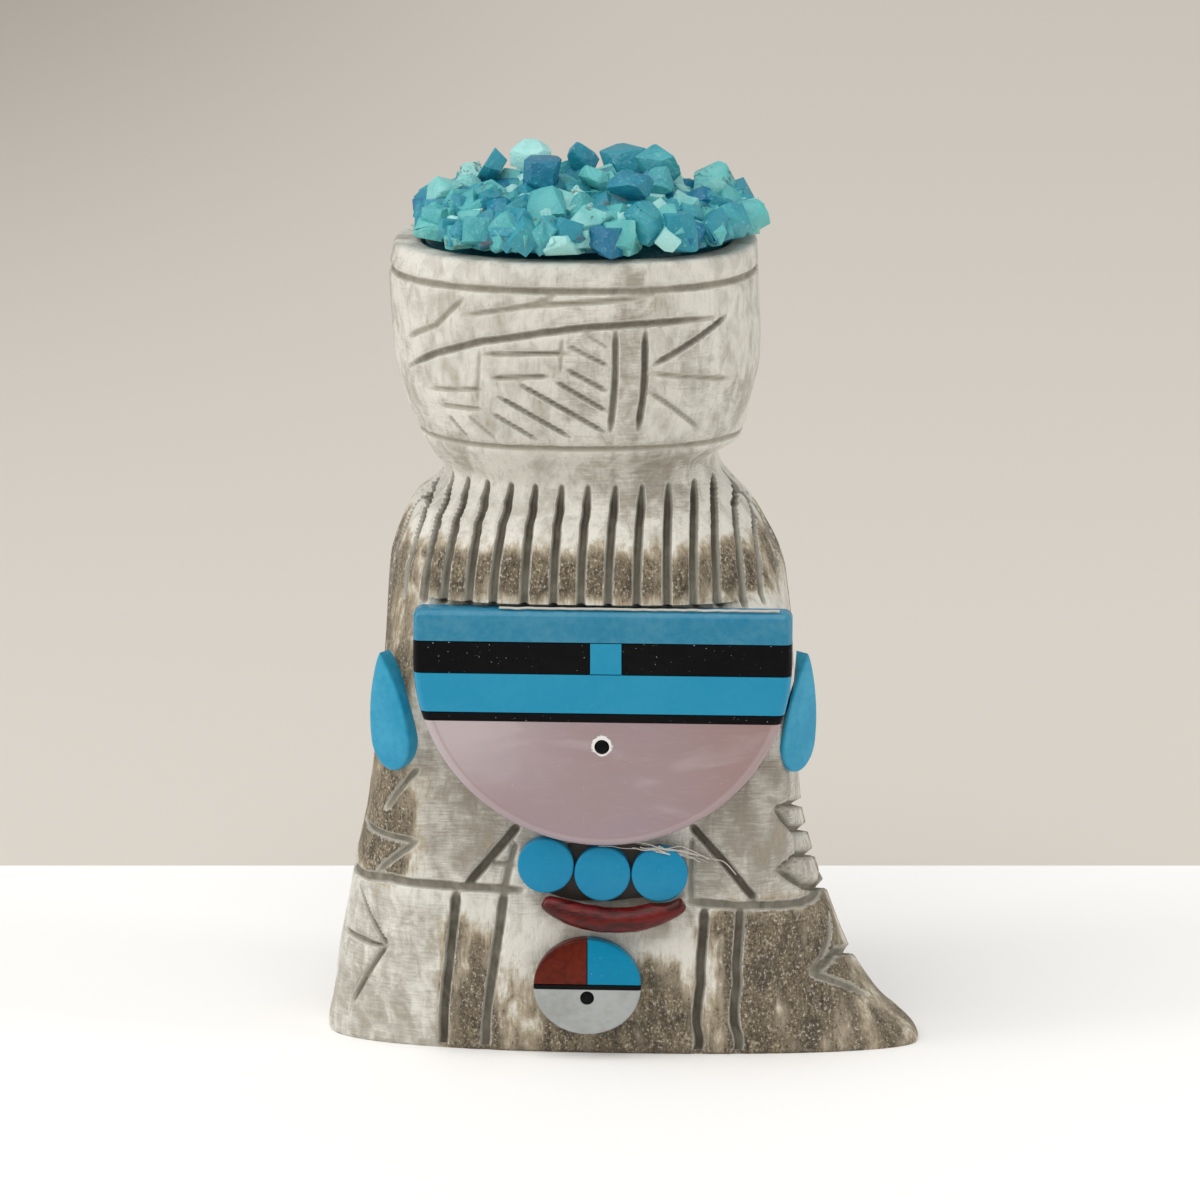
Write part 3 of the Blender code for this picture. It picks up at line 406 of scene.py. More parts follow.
@dataclass(frozen=True)
class PearlFinish:
    """Pink shell with a pearly bloom in soft bands, a chipped ring round the mouth, and a painted highlight
    with a painted shade line along the chin's rounded edge.
    """

    name: str = "pink_shell"
    rose: tuple = linear(154, 133, 135)
    cream: tuple = linear(184, 171, 172)
    lilac: tuple = linear(149, 134, 147)
    brick: tuple = linear(150, 121, 116)
    chip: tuple = linear(232, 230, 226)
    mouth: tuple[float, float] = (-1.6, 35.05)
    centre: tuple[float, float] = (-1.6, 43.95)
    rim: float = 19.0

    def span(self, x: Signal, z: Signal, point: tuple[float, float]) -> Signal:
        """The distance from a point of the front.

        Args:
            x: Place across.
            z: Height.
            point: The point, as (x, height).

        Returns:
            The distance.
        """
        across, up = x - point[0], z - point[1]
        return (across * across + up * up) ** 0.5

    def build(self) -> bpy.types.Material:
        """Makes the material."""
        web = Web(self.name)
        x, _, z = web.axes()
        sweep = web.noise((0.05, 0.05, 0.09), 2.0, 0.5, 0.8, (4.0, 0.0, 1.5))
        bands = web.noise((0.09, 0.1, 0.30), 2.0, 0.5, 0.8, (9.0, 2.0, 0.4))
        fine = web.noise((0.5, 0.7, 2.2), 3.0, 0.6, 0.5)
        colour = web.mix(web.step(sweep, 0.36, 0.64, 0.6), self.rose, self.lilac)
        colour = web.mix(web.step(x + (sweep - 0.5) * 16.0, -1.0, 17.0, 0.85), colour, self.brick)
        left = web.step(x + (bands - 0.5) * 14.0, -2.0, -19.0, 0.9) * web.step(z, 27.0, 36.0)
        colour = web.mix(left, colour, self.cream)
        colour = web.mix(web.step(bands, 0.52, 0.74, 0.30), colour, self.cream)
        colour = web.mix(web.step(fine, 0.52, 0.75, 0.12), colour, self.cream)
        reach = self.span(x, z, self.mouth)
        rag = web.noise((2.4, 2.4, 2.4), 3.0, 0.6)
        ring = web.step(reach + (rag - 0.5) * 0.5, 1.22, 1.02)
        colour = web.mix(ring * 0.9, colour, self.chip)
        # Painted highlight on the chin's rounded edge, lighter, with a darker painted shade line at its inner
        # edge.
        rim = self.span(x, z, self.centre) - self.rim
        colour = web.mix(web.step(rim, -0.2, 0.3, 0.35), colour, self.cream)
        colour = web.mix(web.step(abs(rim), 0.22, 0.05, 0.35), colour, self.brick)
        specks = web.step(web.noise((4.4, 4.4, 4.4), 1.0, 0.5), 0.79, 0.83)
        colour = web.mix(specks * 0.7, colour, self.chip)
        roughness = 0.17 + ring * 0.3 + web.step(fine, 0.5, 0.8, 0.08)
        height = fine * 0.01 - ring * 0.16
        return web.finish(colour, roughness, height, {"Specular IOR Level": 0.4})


@dataclass(frozen=True)
class CoralFinish:
    """Deep red coral under a thick gloss, brighter in patches, with pale streaks that are partly scratches
    and partly painted glints.
    """

    name: str = "red_coral"
    deep: tuple = linear(58, 5, 2)
    bright: tuple = linear(100, 11, 4)
    scratch: tuple = linear(180, 120, 108)

    def build(self) -> bpy.types.Material:
        """Makes the material."""
        web = Web(self.name)
        flow = web.noise((0.35, 0.8, 0.9), 4.0, 0.6, 1.0)
        streak = web.noise((0.9, 5.0, 6.5), 4.0, 0.65, 0.8)
        colour = web.mix(web.step(flow, 0.36, 0.66), self.deep, self.bright)
        # Pale streaks: scratches, and painted glint highlights.
        colour = web.mix(web.step(streak, 0.68, 0.80, 0.24), colour, self.scratch)
        roughness = 0.08 + web.step(streak, 0.60, 0.85, 0.20)
        height = streak * 0.05 + flow * 0.08
        return web.finish(colour, roughness, height, {"Specular IOR Level": 0.32})


@dataclass(frozen=True)
class ChipFinish:
    """Broken turquoise: each chip has its own hue, and some show brown matrix; a hue above 1.1 paints the
    dark shade of the gaps between chips.
    """

    name: str = "turquoise_chips"
    pale: tuple = linear(168, 224, 220)
    aqua: tuple = linear(86, 180, 180)
    sea: tuple = linear(34, 140, 160)
    blue: tuple = linear(2, 106, 144)
    shade: tuple = linear(22, 84, 96)
    matrix: tuple = linear(92, 82, 68)

    def build(self) -> bpy.types.Material:
        """Makes the material."""
        web = Web(self.name)
        hue = web.attribute("hue")
        host = web.attribute("matrix")
        soft = web.noise((0.5, 0.5, 0.5), 3.0, 0.55)
        fine = web.noise((2.2, 2.2, 2.2), 3.0, 0.65)
        value = hue + (soft - 0.5) * 0.30
        colour = web.mix(web.step(value, 0.04, 0.34), self.pale, self.aqua)
        colour = web.mix(web.step(value, 0.36, 0.66), colour, self.sea)
        colour = web.mix(web.step(value, 0.78, 1.02), colour, self.blue)
        colour = web.mix(web.step(fine, 0.56, 0.72, 0.30), colour, self.pale)
        crust = web.step(soft * 0.5 + fine * 0.5 + host * 0.20, 0.67, 0.76)
        colour = web.mix(crust * 0.8, colour, self.matrix)
        # Painted shade: hues above 1.1, as on the bed, take the dark teal of the shadowed gaps between chips.
        colour = web.mix(web.step(hue, 1.1, 1.4), colour, self.shade)
        roughness = 0.34 + (fine - 0.5) * 0.3 + crust * 0.25
        height = fine * 0.16 + soft * 0.26
        return web.finish(colour, roughness, height, {"Specular IOR Level": 0.5})


@dataclass(frozen=True)
class GlueFinish:
    """Hardened adhesive, dark or whitish; the dark film is also painted shade between the discs, and the pale
    bead is also a painted highlight along the slab's top.
    """

    name: str
    base: tuple
    roughness: float

    def build(self) -> bpy.types.Material:
        """Makes the material."""
        web = Web(self.name)
        cloud = web.noise((1.6, 1.6, 1.6), 4.0, 0.6)
        dark = tuple(value * 0.6 for value in self.base[:3]) + (1.0,)
        colour = web.mix(cloud, dark, self.base)
        return web.finish(colour, self.roughness + cloud * 0.1, cloud * 0.08, {})


@dataclass(frozen=True)
class StudioFinish:
    """A painted board or ground; the ground darkens far back and to the left, as painted shade."""

    name: str
    near: tuple
    far: tuple
    roughness: float = 0.7

    def build(self) -> bpy.types.Material:
        """Makes the material."""
        web = Web(self.name)
        x, y, _ = web.axes()
        # Painted shade: the colour darkens toward the back, and more toward the back left.
        depth = web.step(y, 120.0, 760.0)
        side = web.step(x, -10.0, -190.0, 0.8) * depth
        colour = web.mix(depth * 0.2 + side, self.near, self.far)
        return web.finish(colour, self.roughness, None, {"Specular IOR Level": 0.2})


class Paint(Enum):
    """The finishes of the carving."""

    ANTLER = AntlerFinish()
    BROW_TURQUOISE = StoneFinish("brow_turquoise", linear(30, 120, 154), linear(64, 134, 160), flecks=0.4)
    FACE_TURQUOISE = StoneFinish("face_turquoise", linear(18, 136, 174), linear(30, 140, 176), flecks=0.2)
    EAR_TURQUOISE = StoneFinish("ear_turquoise", linear(26, 136, 172), linear(52, 152, 184), flecks=0.2)
    DISC_TURQUOISE = StoneFinish("disc_turquoise", linear(16, 127, 168), linear(30, 133, 170),
                                 flecks=0.3, shine=0.22)
    PENDANT_TURQUOISE = StoneFinish("pendant_turquoise", linear(0, 122, 160), linear(0, 130, 164),
                                    flecks=0.5, shine=0.16)
    JET = StoneFinish("jet", linear(13, 13, 15), linear(18, 17, 19), flecks=0.7, roughness=0.22, shine=0.07)
    WHITE_SHELL = StoneFinish("white_shell", linear(163, 167, 165), linear(147, 149, 145), roughness=0.22)
    RED_QUARTER = StoneFinish("pendant_coral", linear(98, 29, 10), linear(56, 12, 6), flecks=0.2, shine=0.16)
    PINK_SHELL = PearlFinish()
    CORAL = CoralFinish()
    CHIPS = ChipFinish()
    DARK_GLUE_AND_SHADE = GlueFinish("dark_adhesive_and_shade", linear(66, 58, 50), 0.45)
    PALE_GLUE_AND_HIGHLIGHT = GlueFinish("pale_adhesive_and_highlight", linear(206, 202, 192), 0.35)


def linked(name: str, data: bpy.types.ID) -> bpy.types.Object:
    """Makes an object in the scene.

    Args:
        name: Its name.
        data: Its mesh, curve, light or camera.

    Returns:
        The object.
    """
    made = bpy.data.objects.new(name, data)
    bpy.context.scene.collection.objects.link(made)
    return made


def mesh_of(name: str, shape: bmesh.types.BMesh) -> bpy.types.Mesh:
    """Turns a bmesh into a mesh.

    Args:
        name: The mesh's name.
        shape: The bmesh, which is freed.

    Returns:
        The mesh.
    """
    mesh = bpy.data.meshes.new(name)
    shape.to_mesh(mesh)
    shape.free()
    return mesh


def shape_of(mesh: bpy.types.Mesh, into: bmesh.types.BMesh) -> bmesh.types.BMesh:
    """Adds a mesh to a bmesh.

    Args:
        mesh: The mesh, which is removed.
        into: The bmesh.

    Returns:
        The same bmesh.
    """
    into.from_mesh(mesh)
    bpy.data.meshes.remove(mesh)
    return into


def evaluated(item: bpy.types.Object) -> bmesh.types.BMesh:
    """The shape of an object with its modifiers or its curve's thickness.

    Args:
        item: The object, which is removed.

    Returns:
        Its shape.
    """
    graph = bpy.context.evaluated_depsgraph_get()
    mesh = bpy.data.meshes.new_from_object(item.evaluated_get(graph))
    bpy.data.objects.remove(item, do_unlink=True)
    return shape_of(mesh, bmesh.new())


def tube(places: Sequence[Sequence[float]], radii: Sequence[float], resolution: int) -> bmesh.types.BMesh:
    """A closed round tube along a line.

    Args:
        places: The line's points.
        radii: The tube's radius at each point.
        resolution: How finely it is rounded.

    Returns:
        The tube.
    """
    curve = bpy.data.curves.new("line", "CURVE")
    curve.dimensions = "3D"
    curve.bevel_depth = 1.0
    curve.bevel_resolution = resolution
    curve.use_fill_caps = True
    spline = curve.splines.new("POLY")
    spline.points.add(len(places) - 1)
    for point, place, radius in zip(spline.points, places, radii):
        point.co = (*place, 1.0)
        point.radius = radius
    shape = evaluated(linked("line", curve))
    bmesh.ops.remove_doubles(shape, verts=shape.verts, dist=WELD)
    bmesh.ops.recalc_face_normals(shape, faces=shape.faces)
    return shape


class Dresser:
    """Makes pieces of the carving from meshes and keeps one material for each finish."""

    def __init__(self) -> None:
        """Starts with no materials."""
        self.materials: dict[Paint, bpy.types.Material] = {}

    def material(self, paint: Paint) -> bpy.types.Material:
        """The material of a finish, made once.

        Args:
            paint: The finish.

        Returns:
            Its material.
        """
        if paint not in self.materials:
            self.materials[paint] = paint.value.build()
        return self.materials[paint]

    def piece(self, name: str, shape: bmesh.types.BMesh, paint: Paint, nodes: Sequence[str],
              slot: str | None, sharp: float = SHARP_EDGE) -> bpy.types.Object:
        """Makes a piece from a bmesh in millimetres.

        Args:
            name: The piece's name.
            shape: Its shape, which is freed.
            paint: Its finish.
            nodes: The solids that it stands for.
            slot: The record's material slot; not used.
            sharp: The angle in degrees above which an edge stays sharp.

        Returns:
            The piece.
        """
        bmesh.ops.scale(shape, vec=(MM, MM, MM), verts=shape.verts)
        mesh = mesh_of(name, shape)
        for polygon in mesh.polygons:
            polygon.use_smooth = True
        mesh.set_sharp_from_angle(angle=math.radians(sharp))
        mesh.materials.append(self.material(paint))
        made = linked(name, mesh)
        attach(made, BODY)
        if nodes:
            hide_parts(*nodes)
        LOG.info("%s: %d faces", name, len(mesh.polygons))
        return made


FRONT = Matrix.Translation((0.0, -FLAT_FOOT, 0.0)) @ Matrix.Rotation(-LEAN, 4, "X")


def on_front(shape: bmesh.types.BMesh, x: float, height: float) -> None:
    """Moves a shape that was made about the origin onto the flat front.

    Args:
        shape: The shape, with X across and Z up and its face along -Y.
        x: Its place across.
        height: Its place up the front.
    """
    place = FRONT @ Matrix.Translation((x, 0.0, height))
    bmesh.ops.transform(shape, matrix=place, verts=shape.verts)


def noise_over(points: np.ndarray, *layers: tuple[float, float]) -> np.ndarray:
    """Soft noise at each point.

    Args:
        points: The points.
        *layers: The strength and the cycles per millimetre of each layer.

    Returns:
        One number for each point.
    """
    return np.array([sum(high * noise.noise(Vector(p) * often) for high, often in layers) for p in points])


def fractal_over(points: np.ndarray, stretch: tuple[float, float, float], fade: float,
                 octaves: int) -> np.ndarray:
    """Fractal noise at each point.

    Args:
        points: The points.
        stretch: Cycles per millimetre along X, Y and Z.
        fade: How fast the octaves fade.
        octaves: How many.

    Returns:
        One number for each point.
    """
    return np.array([noise.fractal(Vector(p * stretch), fade, 2.0, octaves) for p in points])


@dataclass
class AntlerCarving:
    """The carved antler: robe, hair and pot in one piece, with its lines cut as real grooves."""

    robe_sections: tuple = (
        (0.000, -31.9, -6.0, 32.2, -8.2, -14.7, 10.0, 2.4, 2.2),
        (0.022, -31.9, -5.7, 31.5, -8.0, -14.9, 10.2, 2.4, 2.2),
        (0.075, -31.4, -5.2, 28.3, -7.0, -15.3, 10.8, 2.5, 2.2),
        (0.177, -30.8, -4.2, 24.6, -4.5, -16.0, 11.8, 2.6, 2.4),
        (0.280, -29.9, -3.2, 22.4, -3.0, -16.4, 12.6, 2.8, 2.8),
        (0.382, -29.0, -2.2, 20.4, -2.0, -16.8, 13.3, 3.2, 3.4),
        (0.497, -27.6, -1.2, 19.0, -1.0, -17.0, 14.0, 3.6, 5.0),
        (0.600, -26.9, -0.5, 18.7, -0.5, -17.1, 14.5, 4.0, 7.0),
        (0.840, -25.6, 0.0, 18.1, 0.0, -17.0, 15.0, 4.0, 7.0),
    )
    hair_sections: tuple = (
        (0.000, -25.2, 0.0, 17.2, 0.0, -16.6, 15.2, 3.2, 3.4),
        (0.190, -25.0, 0.0, 16.6, 0.0, -16.6, 15.2, 3.1, 3.0),
        (0.460, -24.0, 0.0, 15.1, 0.0, -16.4, 14.8, 3.0, 2.8),
        (0.690, -22.5, 0.0, 13.4, 0.0, -14.7, 13.4, 2.7, 2.6),
        (0.840, -20.3, 0.0, 11.8, 0.0, -12.9, 12.0, 2.5, 2.5),
    )
    pot_sections: tuple = (
        (0.000, -19.4, 0.0, 10.3, 0.0, -11.2, 11.0, 2.4, 2.4),
        (0.065, -20.5, 0.0, 9.9, 0.0, -11.6, 11.5, 2.4, 2.4),
        (0.165, -22.0, 0.0, 12.7, 0.0, -13.2, 13.0, 2.4, 2.4),
        (0.260, -22.9, 0.0, 13.2, 0.0, -14.2, 14.0, 2.4, 2.4),
        (0.500, -24.5, 0.0, 14.4, 0.0, -15.4, 15.0, 2.4, 2.4),
        (0.850, -25.2, 0.0, 14.1, 0.0, -15.5, 15.1, 2.4, 2.4),
        (1.000, -24.6, 0.0, 14.0, 0.0, -14.9, 14.7, 2.4, 2.4),
    )
    back_power: float = 2.4
    front_step: float = 0.27
    back_step: float = 0.52
    row_step: float = 0.358
    wall: float = 3.0
    hollow: float = 8.0
    floor_share: float = 0.8
    line_sample: float = 0.4
    line_reach: float = 1.2
    far_edge: float = 1.5
    flat_blend: float = 0.04
    turn_samples: int = 4001
    foot_inset: float = 0.25
    lines: list[Line] = field(default_factory=list)

    def __post_init__(self) -> None:
        """Stacks the sections by height and fits their slopes."""
        rows = [(s * ROBE_TOP, *rest) for s, *rest in self.robe_sections]
        rows += [(ROBE_TOP + s * (NECK - ROBE_TOP), *rest) for s, *rest in self.hair_sections]
        rows += [(NECK + s * (RIM - NECK), *rest) for s, *rest in self.pot_sections]
        table = np.array(rows)
        self.levels, self.values = table[:, 0], table[:, 1:]
        run = np.diff(self.levels)[:, None]
        rise = np.diff(self.values, axis=0) / run
        slopes = np.zeros_like(self.values)
        same = rise[1:] * rise[:-1] > 0
        mean = np.where(same, 2 * rise[1:] * rise[:-1] / np.where(same, rise[1:] + rise[:-1], 1.0), 0.0)
        slopes[1:-1] = mean
        slopes[0], slopes[-1] = rise[0], rise[-1]
        self.slopes = slopes

    def section(self, heights: np.ndarray) -> np.ndarray:
        """The section's eight numbers at each height.

        Args:
            heights: Heights in millimetres.

        Returns:
            One row of numbers for each height.
        """
        heights = np.clip(heights, self.levels[0], self.levels[-1])
        index = np.clip(np.searchsorted(self.levels, heights, side="right") - 1, 0, len(self.levels) - 2)
        run = (self.levels[index + 1] - self.levels[index])[:, None]
        t = (heights - self.levels[index])[:, None] / run
        low, high = self.values[index], self.values[index + 1]
        into, out = self.slopes[index] * run, self.slopes[index + 1] * run
        bend = (1 + 2 * t) * (1 - t) ** 2 * low + t * (1 - t) ** 2 * into
        return bend + t ** 2 * (3 - 2 * t) * high + t ** 2 * (t - 1) * out

    def surface(self, angles: np.ndarray, heights: np.ndarray, flat: np.ndarray,
                inset: float = 0.0) -> np.ndarray:
        """Points of the surface.

        Args:
            angles: Angles, 0 at the right end and a quarter turn at the back.
            heights: Heights, as many as angles.
            flat: Whether the flat front is taken off there.
            inset: How far the section is moved in.

        Returns:
            The points, one row each.
        """
        left_x, left_y, right_x, right_y, front, back, left_p, right_p = self.section(heights).T
        middle = (left_x + right_x) / 2
        across, depth = np.cos(angles), np.sin(angles)
        right = across > 0
        end_x = np.where(right, right_x - inset, left_x + inset)
        end_y = np.where(right, right_y, left_y)
        side_y = np.where(depth > 0, back - inset, front + inset)
        power = np.where(depth > 0, self.back_power, np.where(right, right_p, left_p))
        share = (np.abs(across) ** power + np.abs(depth) ** power) ** (-1 / power)
        x = middle + (end_x - middle) * np.abs(across) * share
        y = end_y + (side_y - end_y) * np.abs(depth) * share
        plane = (FLAT_FOOT - FLAT_TOP) * heights / ROBE_TOP - FLAT_FOOT
        gap = y - plane
        rounded = plane + (gap + np.sqrt(gap * gap + self.flat_blend)) / 2
        y = np.where(flat, rounded, y)
        return np.stack([x, y, heights], axis=1)

    def spot(self, angle: float, height: float, flat: bool, inset: float = 0.0) -> np.ndarray:
        """One point of the surface.

        Args:
            angle: Its angle.
            height: Its height.
            flat: Whether the flat front is taken off there.
            inset: How far the section is moved in.

        Returns:
            The point.
        """
        return self.surface(np.array([angle]), np.array([height]), np.array([flat]), inset)[0]

    def front_angle(self, x: float, height: float) -> float:
        """The angle at which the front of a section passes through x.

        Args:
            x: Place across.
            height: Height of the section.

        Returns:
            The angle.
        """
        left_x, _, right_x, _, _, _, left_p, right_p = self.section(np.array([height]))[0]
        middle = (left_x + right_x) / 2
        right = x > middle
        end, power = (right_x, right_p) if right else (left_x, left_p)
        share = min(max(abs((x - middle) / (end - middle)), 1e-4), 0.99999)
        turn = math.atan((share ** -power - 1) ** (1 / power))
        return -turn if right else turn - math.pi

    def normals(self, angles: np.ndarray, heights: np.ndarray, flat: np.ndarray) -> np.ndarray:
        """Outward directions of the surface.

        Args:
            angles: Angles.
            heights: Heights.
            flat: Whether the flat front is taken off there.

        Returns:
            Unit vectors, one row each.
        """
        turn, rise = 0.01, 0.2
        around = self.surface(angles + turn, heights, flat) - self.surface(angles - turn, heights, flat)
        low = np.where(flat, np.minimum(heights, ROBE_TOP) - rise, heights)
        up = self.surface(angles, low + rise, flat) - self.surface(angles, low, flat)
        up[:, 2] = rise
        out = np.cross(around, up)
        return out / np.linalg.norm(out, axis=1, keepdims=True)

    def columns(self) -> np.ndarray:
        """Angles of the columns, dense in front and sparse at the back."""
        count = self.turn_samples
        fine = np.linspace(-math.pi, math.pi, count)
        lengths = np.zeros(count - 1)
        for height in (30.0, 75.0):
            spots = self.surface(fine, np.full(count, height), np.zeros(count, bool))
            lengths = np.maximum(lengths, np.linalg.norm(np.diff(spots, axis=0), axis=1))
        middle = (fine[1:] + fine[:-1]) / 2
        behind = 1 / (1 + np.exp(-(np.sin(middle) - 0.25) * 14))
        steps = lengths / (self.front_step + (self.back_step - self.front_step) * behind)
        total = np.concatenate([[0.0], np.cumsum(steps)])
        count = int(round(total[-1]))
        return np.interp(np.arange(count) / count * total[-1], total, fine)

    def rows(self) -> list[tuple[float, bool]]:
        """Heights of the rows, each with whether the flat front is taken off."""
        low = np.linspace(0.35, ROBE_TOP - 0.03, int(ROBE_TOP / self.row_step))
        high = np.linspace(ROBE_TOP + 0.03, RIM - 0.5, int((RIM - ROBE_TOP) / self.row_step))
        return [(float(h), True) for h in low] + [(float(h), False) for h in high]

    def route_points(self, line: Line) -> tuple[np.ndarray, np.ndarray]:
        """Points along a line on the surface, with the share of its length at each.

        Args:
            line: The carved line.

        Returns:
            The points and the shares.
        """
        angles, heights = [], []
        for (a0, h0), (a1, h1) in zip(line.route, line.route[1:]):
            steps = max(2, int(max(abs(a1 - a0) * 18.0, abs(h1 - h0)) / self.line_sample))
            share = np.linspace(0.0, 1.0, steps, endpoint=False)
            angles.append(a0 + (a1 - a0) * share)
            heights.append(h0 + (h1 - h0) * share)
        angles.append(np.array([line.route[-1][0]]))
        heights.append(np.array([line.route[-1][1]]))
        angle, height = np.concatenate(angles), np.concatenate(heights)
        spots = self.surface(angle, height, height < ROBE_TOP)
        return spots, np.linspace(0.0, 1.0, len(spots))

    def cut_lines(self, points: np.ndarray) -> tuple[np.ndarray, np.ndarray, np.ndarray]:
        """How the carved lines meet the surface.

        Args:
            points: Points of the surface.

        Returns:
            The distance to the nearest line's edge, negative inside, the line's tone and the depth.
        """
        count = len(points)
        edge, tone, deep = np.full(count, self.far_edge), np.zeros(count), np.zeros(count)
        wobble = noise_over(points, (0.07, 0.7), (0.05, 2.3))
        for line in self.lines:
            spots, shares = self.route_points(line)
            reach = line.width + self.line_reach
            near = np.all((points > spots.min(0) - reach) & (points < spots.max(0) + reach), axis=1)
            index = np.nonzero(near)[0]
            if not len(index):
                continue
            local = points[index]
            best, at = np.full(len(index), 9.0), np.zeros(len(index))
            for i in range(len(spots) - 1):
                start, run = spots[i], spots[i + 1] - spots[i]
                t = np.clip((local - start) @ run / max(run @ run, 1e-9), 0.0, 1.0)
                gap = np.linalg.norm(local - start - t[:, None] * run, axis=1)
                closer = gap < best
                best = np.where(closer, gap, best)
                at = np.where(closer, shares[i] + (shares[i + 1] - shares[i]) * t, at)
            ends = np.minimum(at / line.lead, (1 - at) / line.tail)
            taper = np.clip(ends + line.blunt, 0.0, 1.0)
            half = line.width / 2 * (0.55 + 0.45 * taper)
            gap = best + wobble[index] * line.ragged - half
            flank = max(line.width / 2 - line.bottom / 2, 0.1)
            share = np.clip(-gap / flank, 0.0, 1.0)
            depth = line.depth * (0.35 + 0.65 * taper) * share * (2 - share)
            nearer = gap < edge[index]
            shade = line.tone * (0.5 + 0.5 * taper) * (1 - line.fade * (1 - at))
            tone[index] = np.where(nearer, shade, tone[index])
            edge[index] = np.minimum(edge[index], gap)
            deep[index] = np.maximum(deep[index], depth)
        return np.clip(edge, -1.0, self.far_edge), tone, deep

    def build(self, dresser: Dresser) -> bpy.types.Object:
        """Makes the carving.

        Args:
            dresser: Makes the piece.

        Returns:
            The piece.
        """
        angles = self.columns()
        rows = self.rows()
        grid_a = np.tile(angles, len(rows))
        grid_h = np.repeat([h for h, _ in rows], len(angles))
        grid_f = np.repeat([f for _, f in rows], len(angles))
        spots = self.surface(grid_a, grid_h, grid_f)
        out = self.normals(grid_a, grid_h, grid_f)
        edge, tone, deep = self.cut_lines(spots)
        bark, smoke_and_shade = self.stains(spots, grid_a)
        swell = noise_over(spots, (0.16, 0.11), (0.05, 0.45))
        pits = np.array([
            noise.turbulence(Vector((p[0] * 1.1, p[1] * 1.1, p[2] * 0.7)), 3, False) for p in spots
        ])
        level = np.where(grid_f & (out[:, 1] < -0.98), 0.25, 1.0)
        move = swell * level - deep - 0.16 * np.clip(bark, 0.0, 1.0) * np.clip(pits - 0.2, 0.0, 1.2)
        spots = np.clip(spots + out * move[:, None], *(np.array(CAD_BOX) / MM))
        rings = [spots[i * len(angles):(i + 1) * len(angles)] for i in range(len(rows))]
        count = len(angles)
        high, low = np.full(count, RIM), np.zeros(count)
        off = np.zeros(count, bool)

        def level_ring(inset: float, height: float, share: float = 1.0) -> np.ndarray:
            """A ring of the mouth or hollow."""
            ring = self.surface(angles, high, off, inset)
            middle = (self.values[-1][0] + self.values[-1][2]) / 2
            ring[:, 0] = middle + (ring[:, 0] - middle) * share
            ring[:, 1] *= share
            ring[:, 2] = height
            return ring

        foot = self.surface(angles, low, np.ones(count, bool), self.foot_inset)
        foot[:, 2] = 0.0
        top = [level_ring(0.04, RIM - 0.22), level_ring(0.28, RIM - 0.03)]
        top += [level_ring(inset, RIM) for inset in (0.7, 1.3, 1.9, 2.4)]
        top += [level_ring(2.75, RIM - 0.05), level_ring(2.95, RIM - 0.3), level_ring(self.wall, RIM - 0.8)]
        top += [level_ring(self.wall, RIM - drop) for drop in (2.4, 4.8)]
        top.append(level_ring(self.wall, RIM - self.hollow, self.floor_share))
        rings = [foot, *rings, *top]
        shape = bmesh.new()
        data = {"line_edge": edge, "line_tone": tone, "bark": bark, "smoke_and_shade": smoke_and_shade}
        marks = {name: shape.verts.layers.float.new(name) for name in data}
        made = [[shape.verts.new(point) for point in ring] for ring in rings]
        for name, layer in marks.items():
            values = data[name].reshape(len(rows), count)
            for i, ring in enumerate(made):
                source = values[min(max(i - 1, 0), len(rows) - 1)]
                outside = 0 < i <= len(rows)
                for j, vertex in enumerate(ring):
                    vertex[layer] = float(source[j]) if outside or name != "line_edge" else self.far_edge
        for lower, upper in zip(made, made[1:]):
            for j in range(count):
                k = (j + 1) % count
                shape.faces.new((lower[j], lower[k], upper[k], upper[j]))
        shape.faces.new(made[0][::-1])
        shape.faces.new(made[-1])
        return dresser.piece("carved_antler", shape, Paint.ANTLER, ["antler_carving"], "antler", 62.0)

    def stains(self, points: np.ndarray, angles: np.ndarray) -> tuple[np.ndarray, np.ndarray]:
        """Where bark is left, and where the antler is smoky, with painted shade round the discs.

        Args:
            points: Points of the surface.
            angles: Their angles.

        Returns:
            The two masks, from 0 to 1.
        """
        x, z = points[:, 0], points[:, 2]
        back = 1 / (1 + np.exp(-(np.sin(angles) + 0.02) * 9))
        bark = np.zeros(len(points))
        smoke_and_shade = np.zeros(len(points))
        for mask, stains in ((bark, BARK_STAINS), (smoke_and_shade, SMOKE_AND_SHADE_STAINS)):
            for stain in stains:
                mask[:] = np.maximum(mask, stain.strength(x, z) * (1 - back * stain.front_only))
        patch = fractal_over(points, (0.30, 0.30, 0.07), 0.7, 3)
        bark *= np.clip(0.95 + 0.55 * patch, 0.3, 1.25)
        wild = 0.5 + 0.5 * fractal_over(points, (0.09, 0.09, 0.05), 0.8, 4)
        behind = back * np.clip(0.30 + 0.75 * wild, 0.0, 1.0) / (1 + np.exp((z - 56.5 - 4 * patch) * 1.6))
        bark[:] = np.maximum(bark, behind)
        return bark, smoke_and_shade


@dataclass(frozen=True)
class Line:
    """One carved line, as (angle, height) points, with its section and look."""

    route: tuple
    width: float = 0.85
    depth: float = 0.35
    bottom: float = 0.2
    tone: float = 0.5
    lead: float = 0.12
    tail: float = 0.12
    blunt: float = 0.1
    ragged: float = 1.0
    fade: float = 0.0


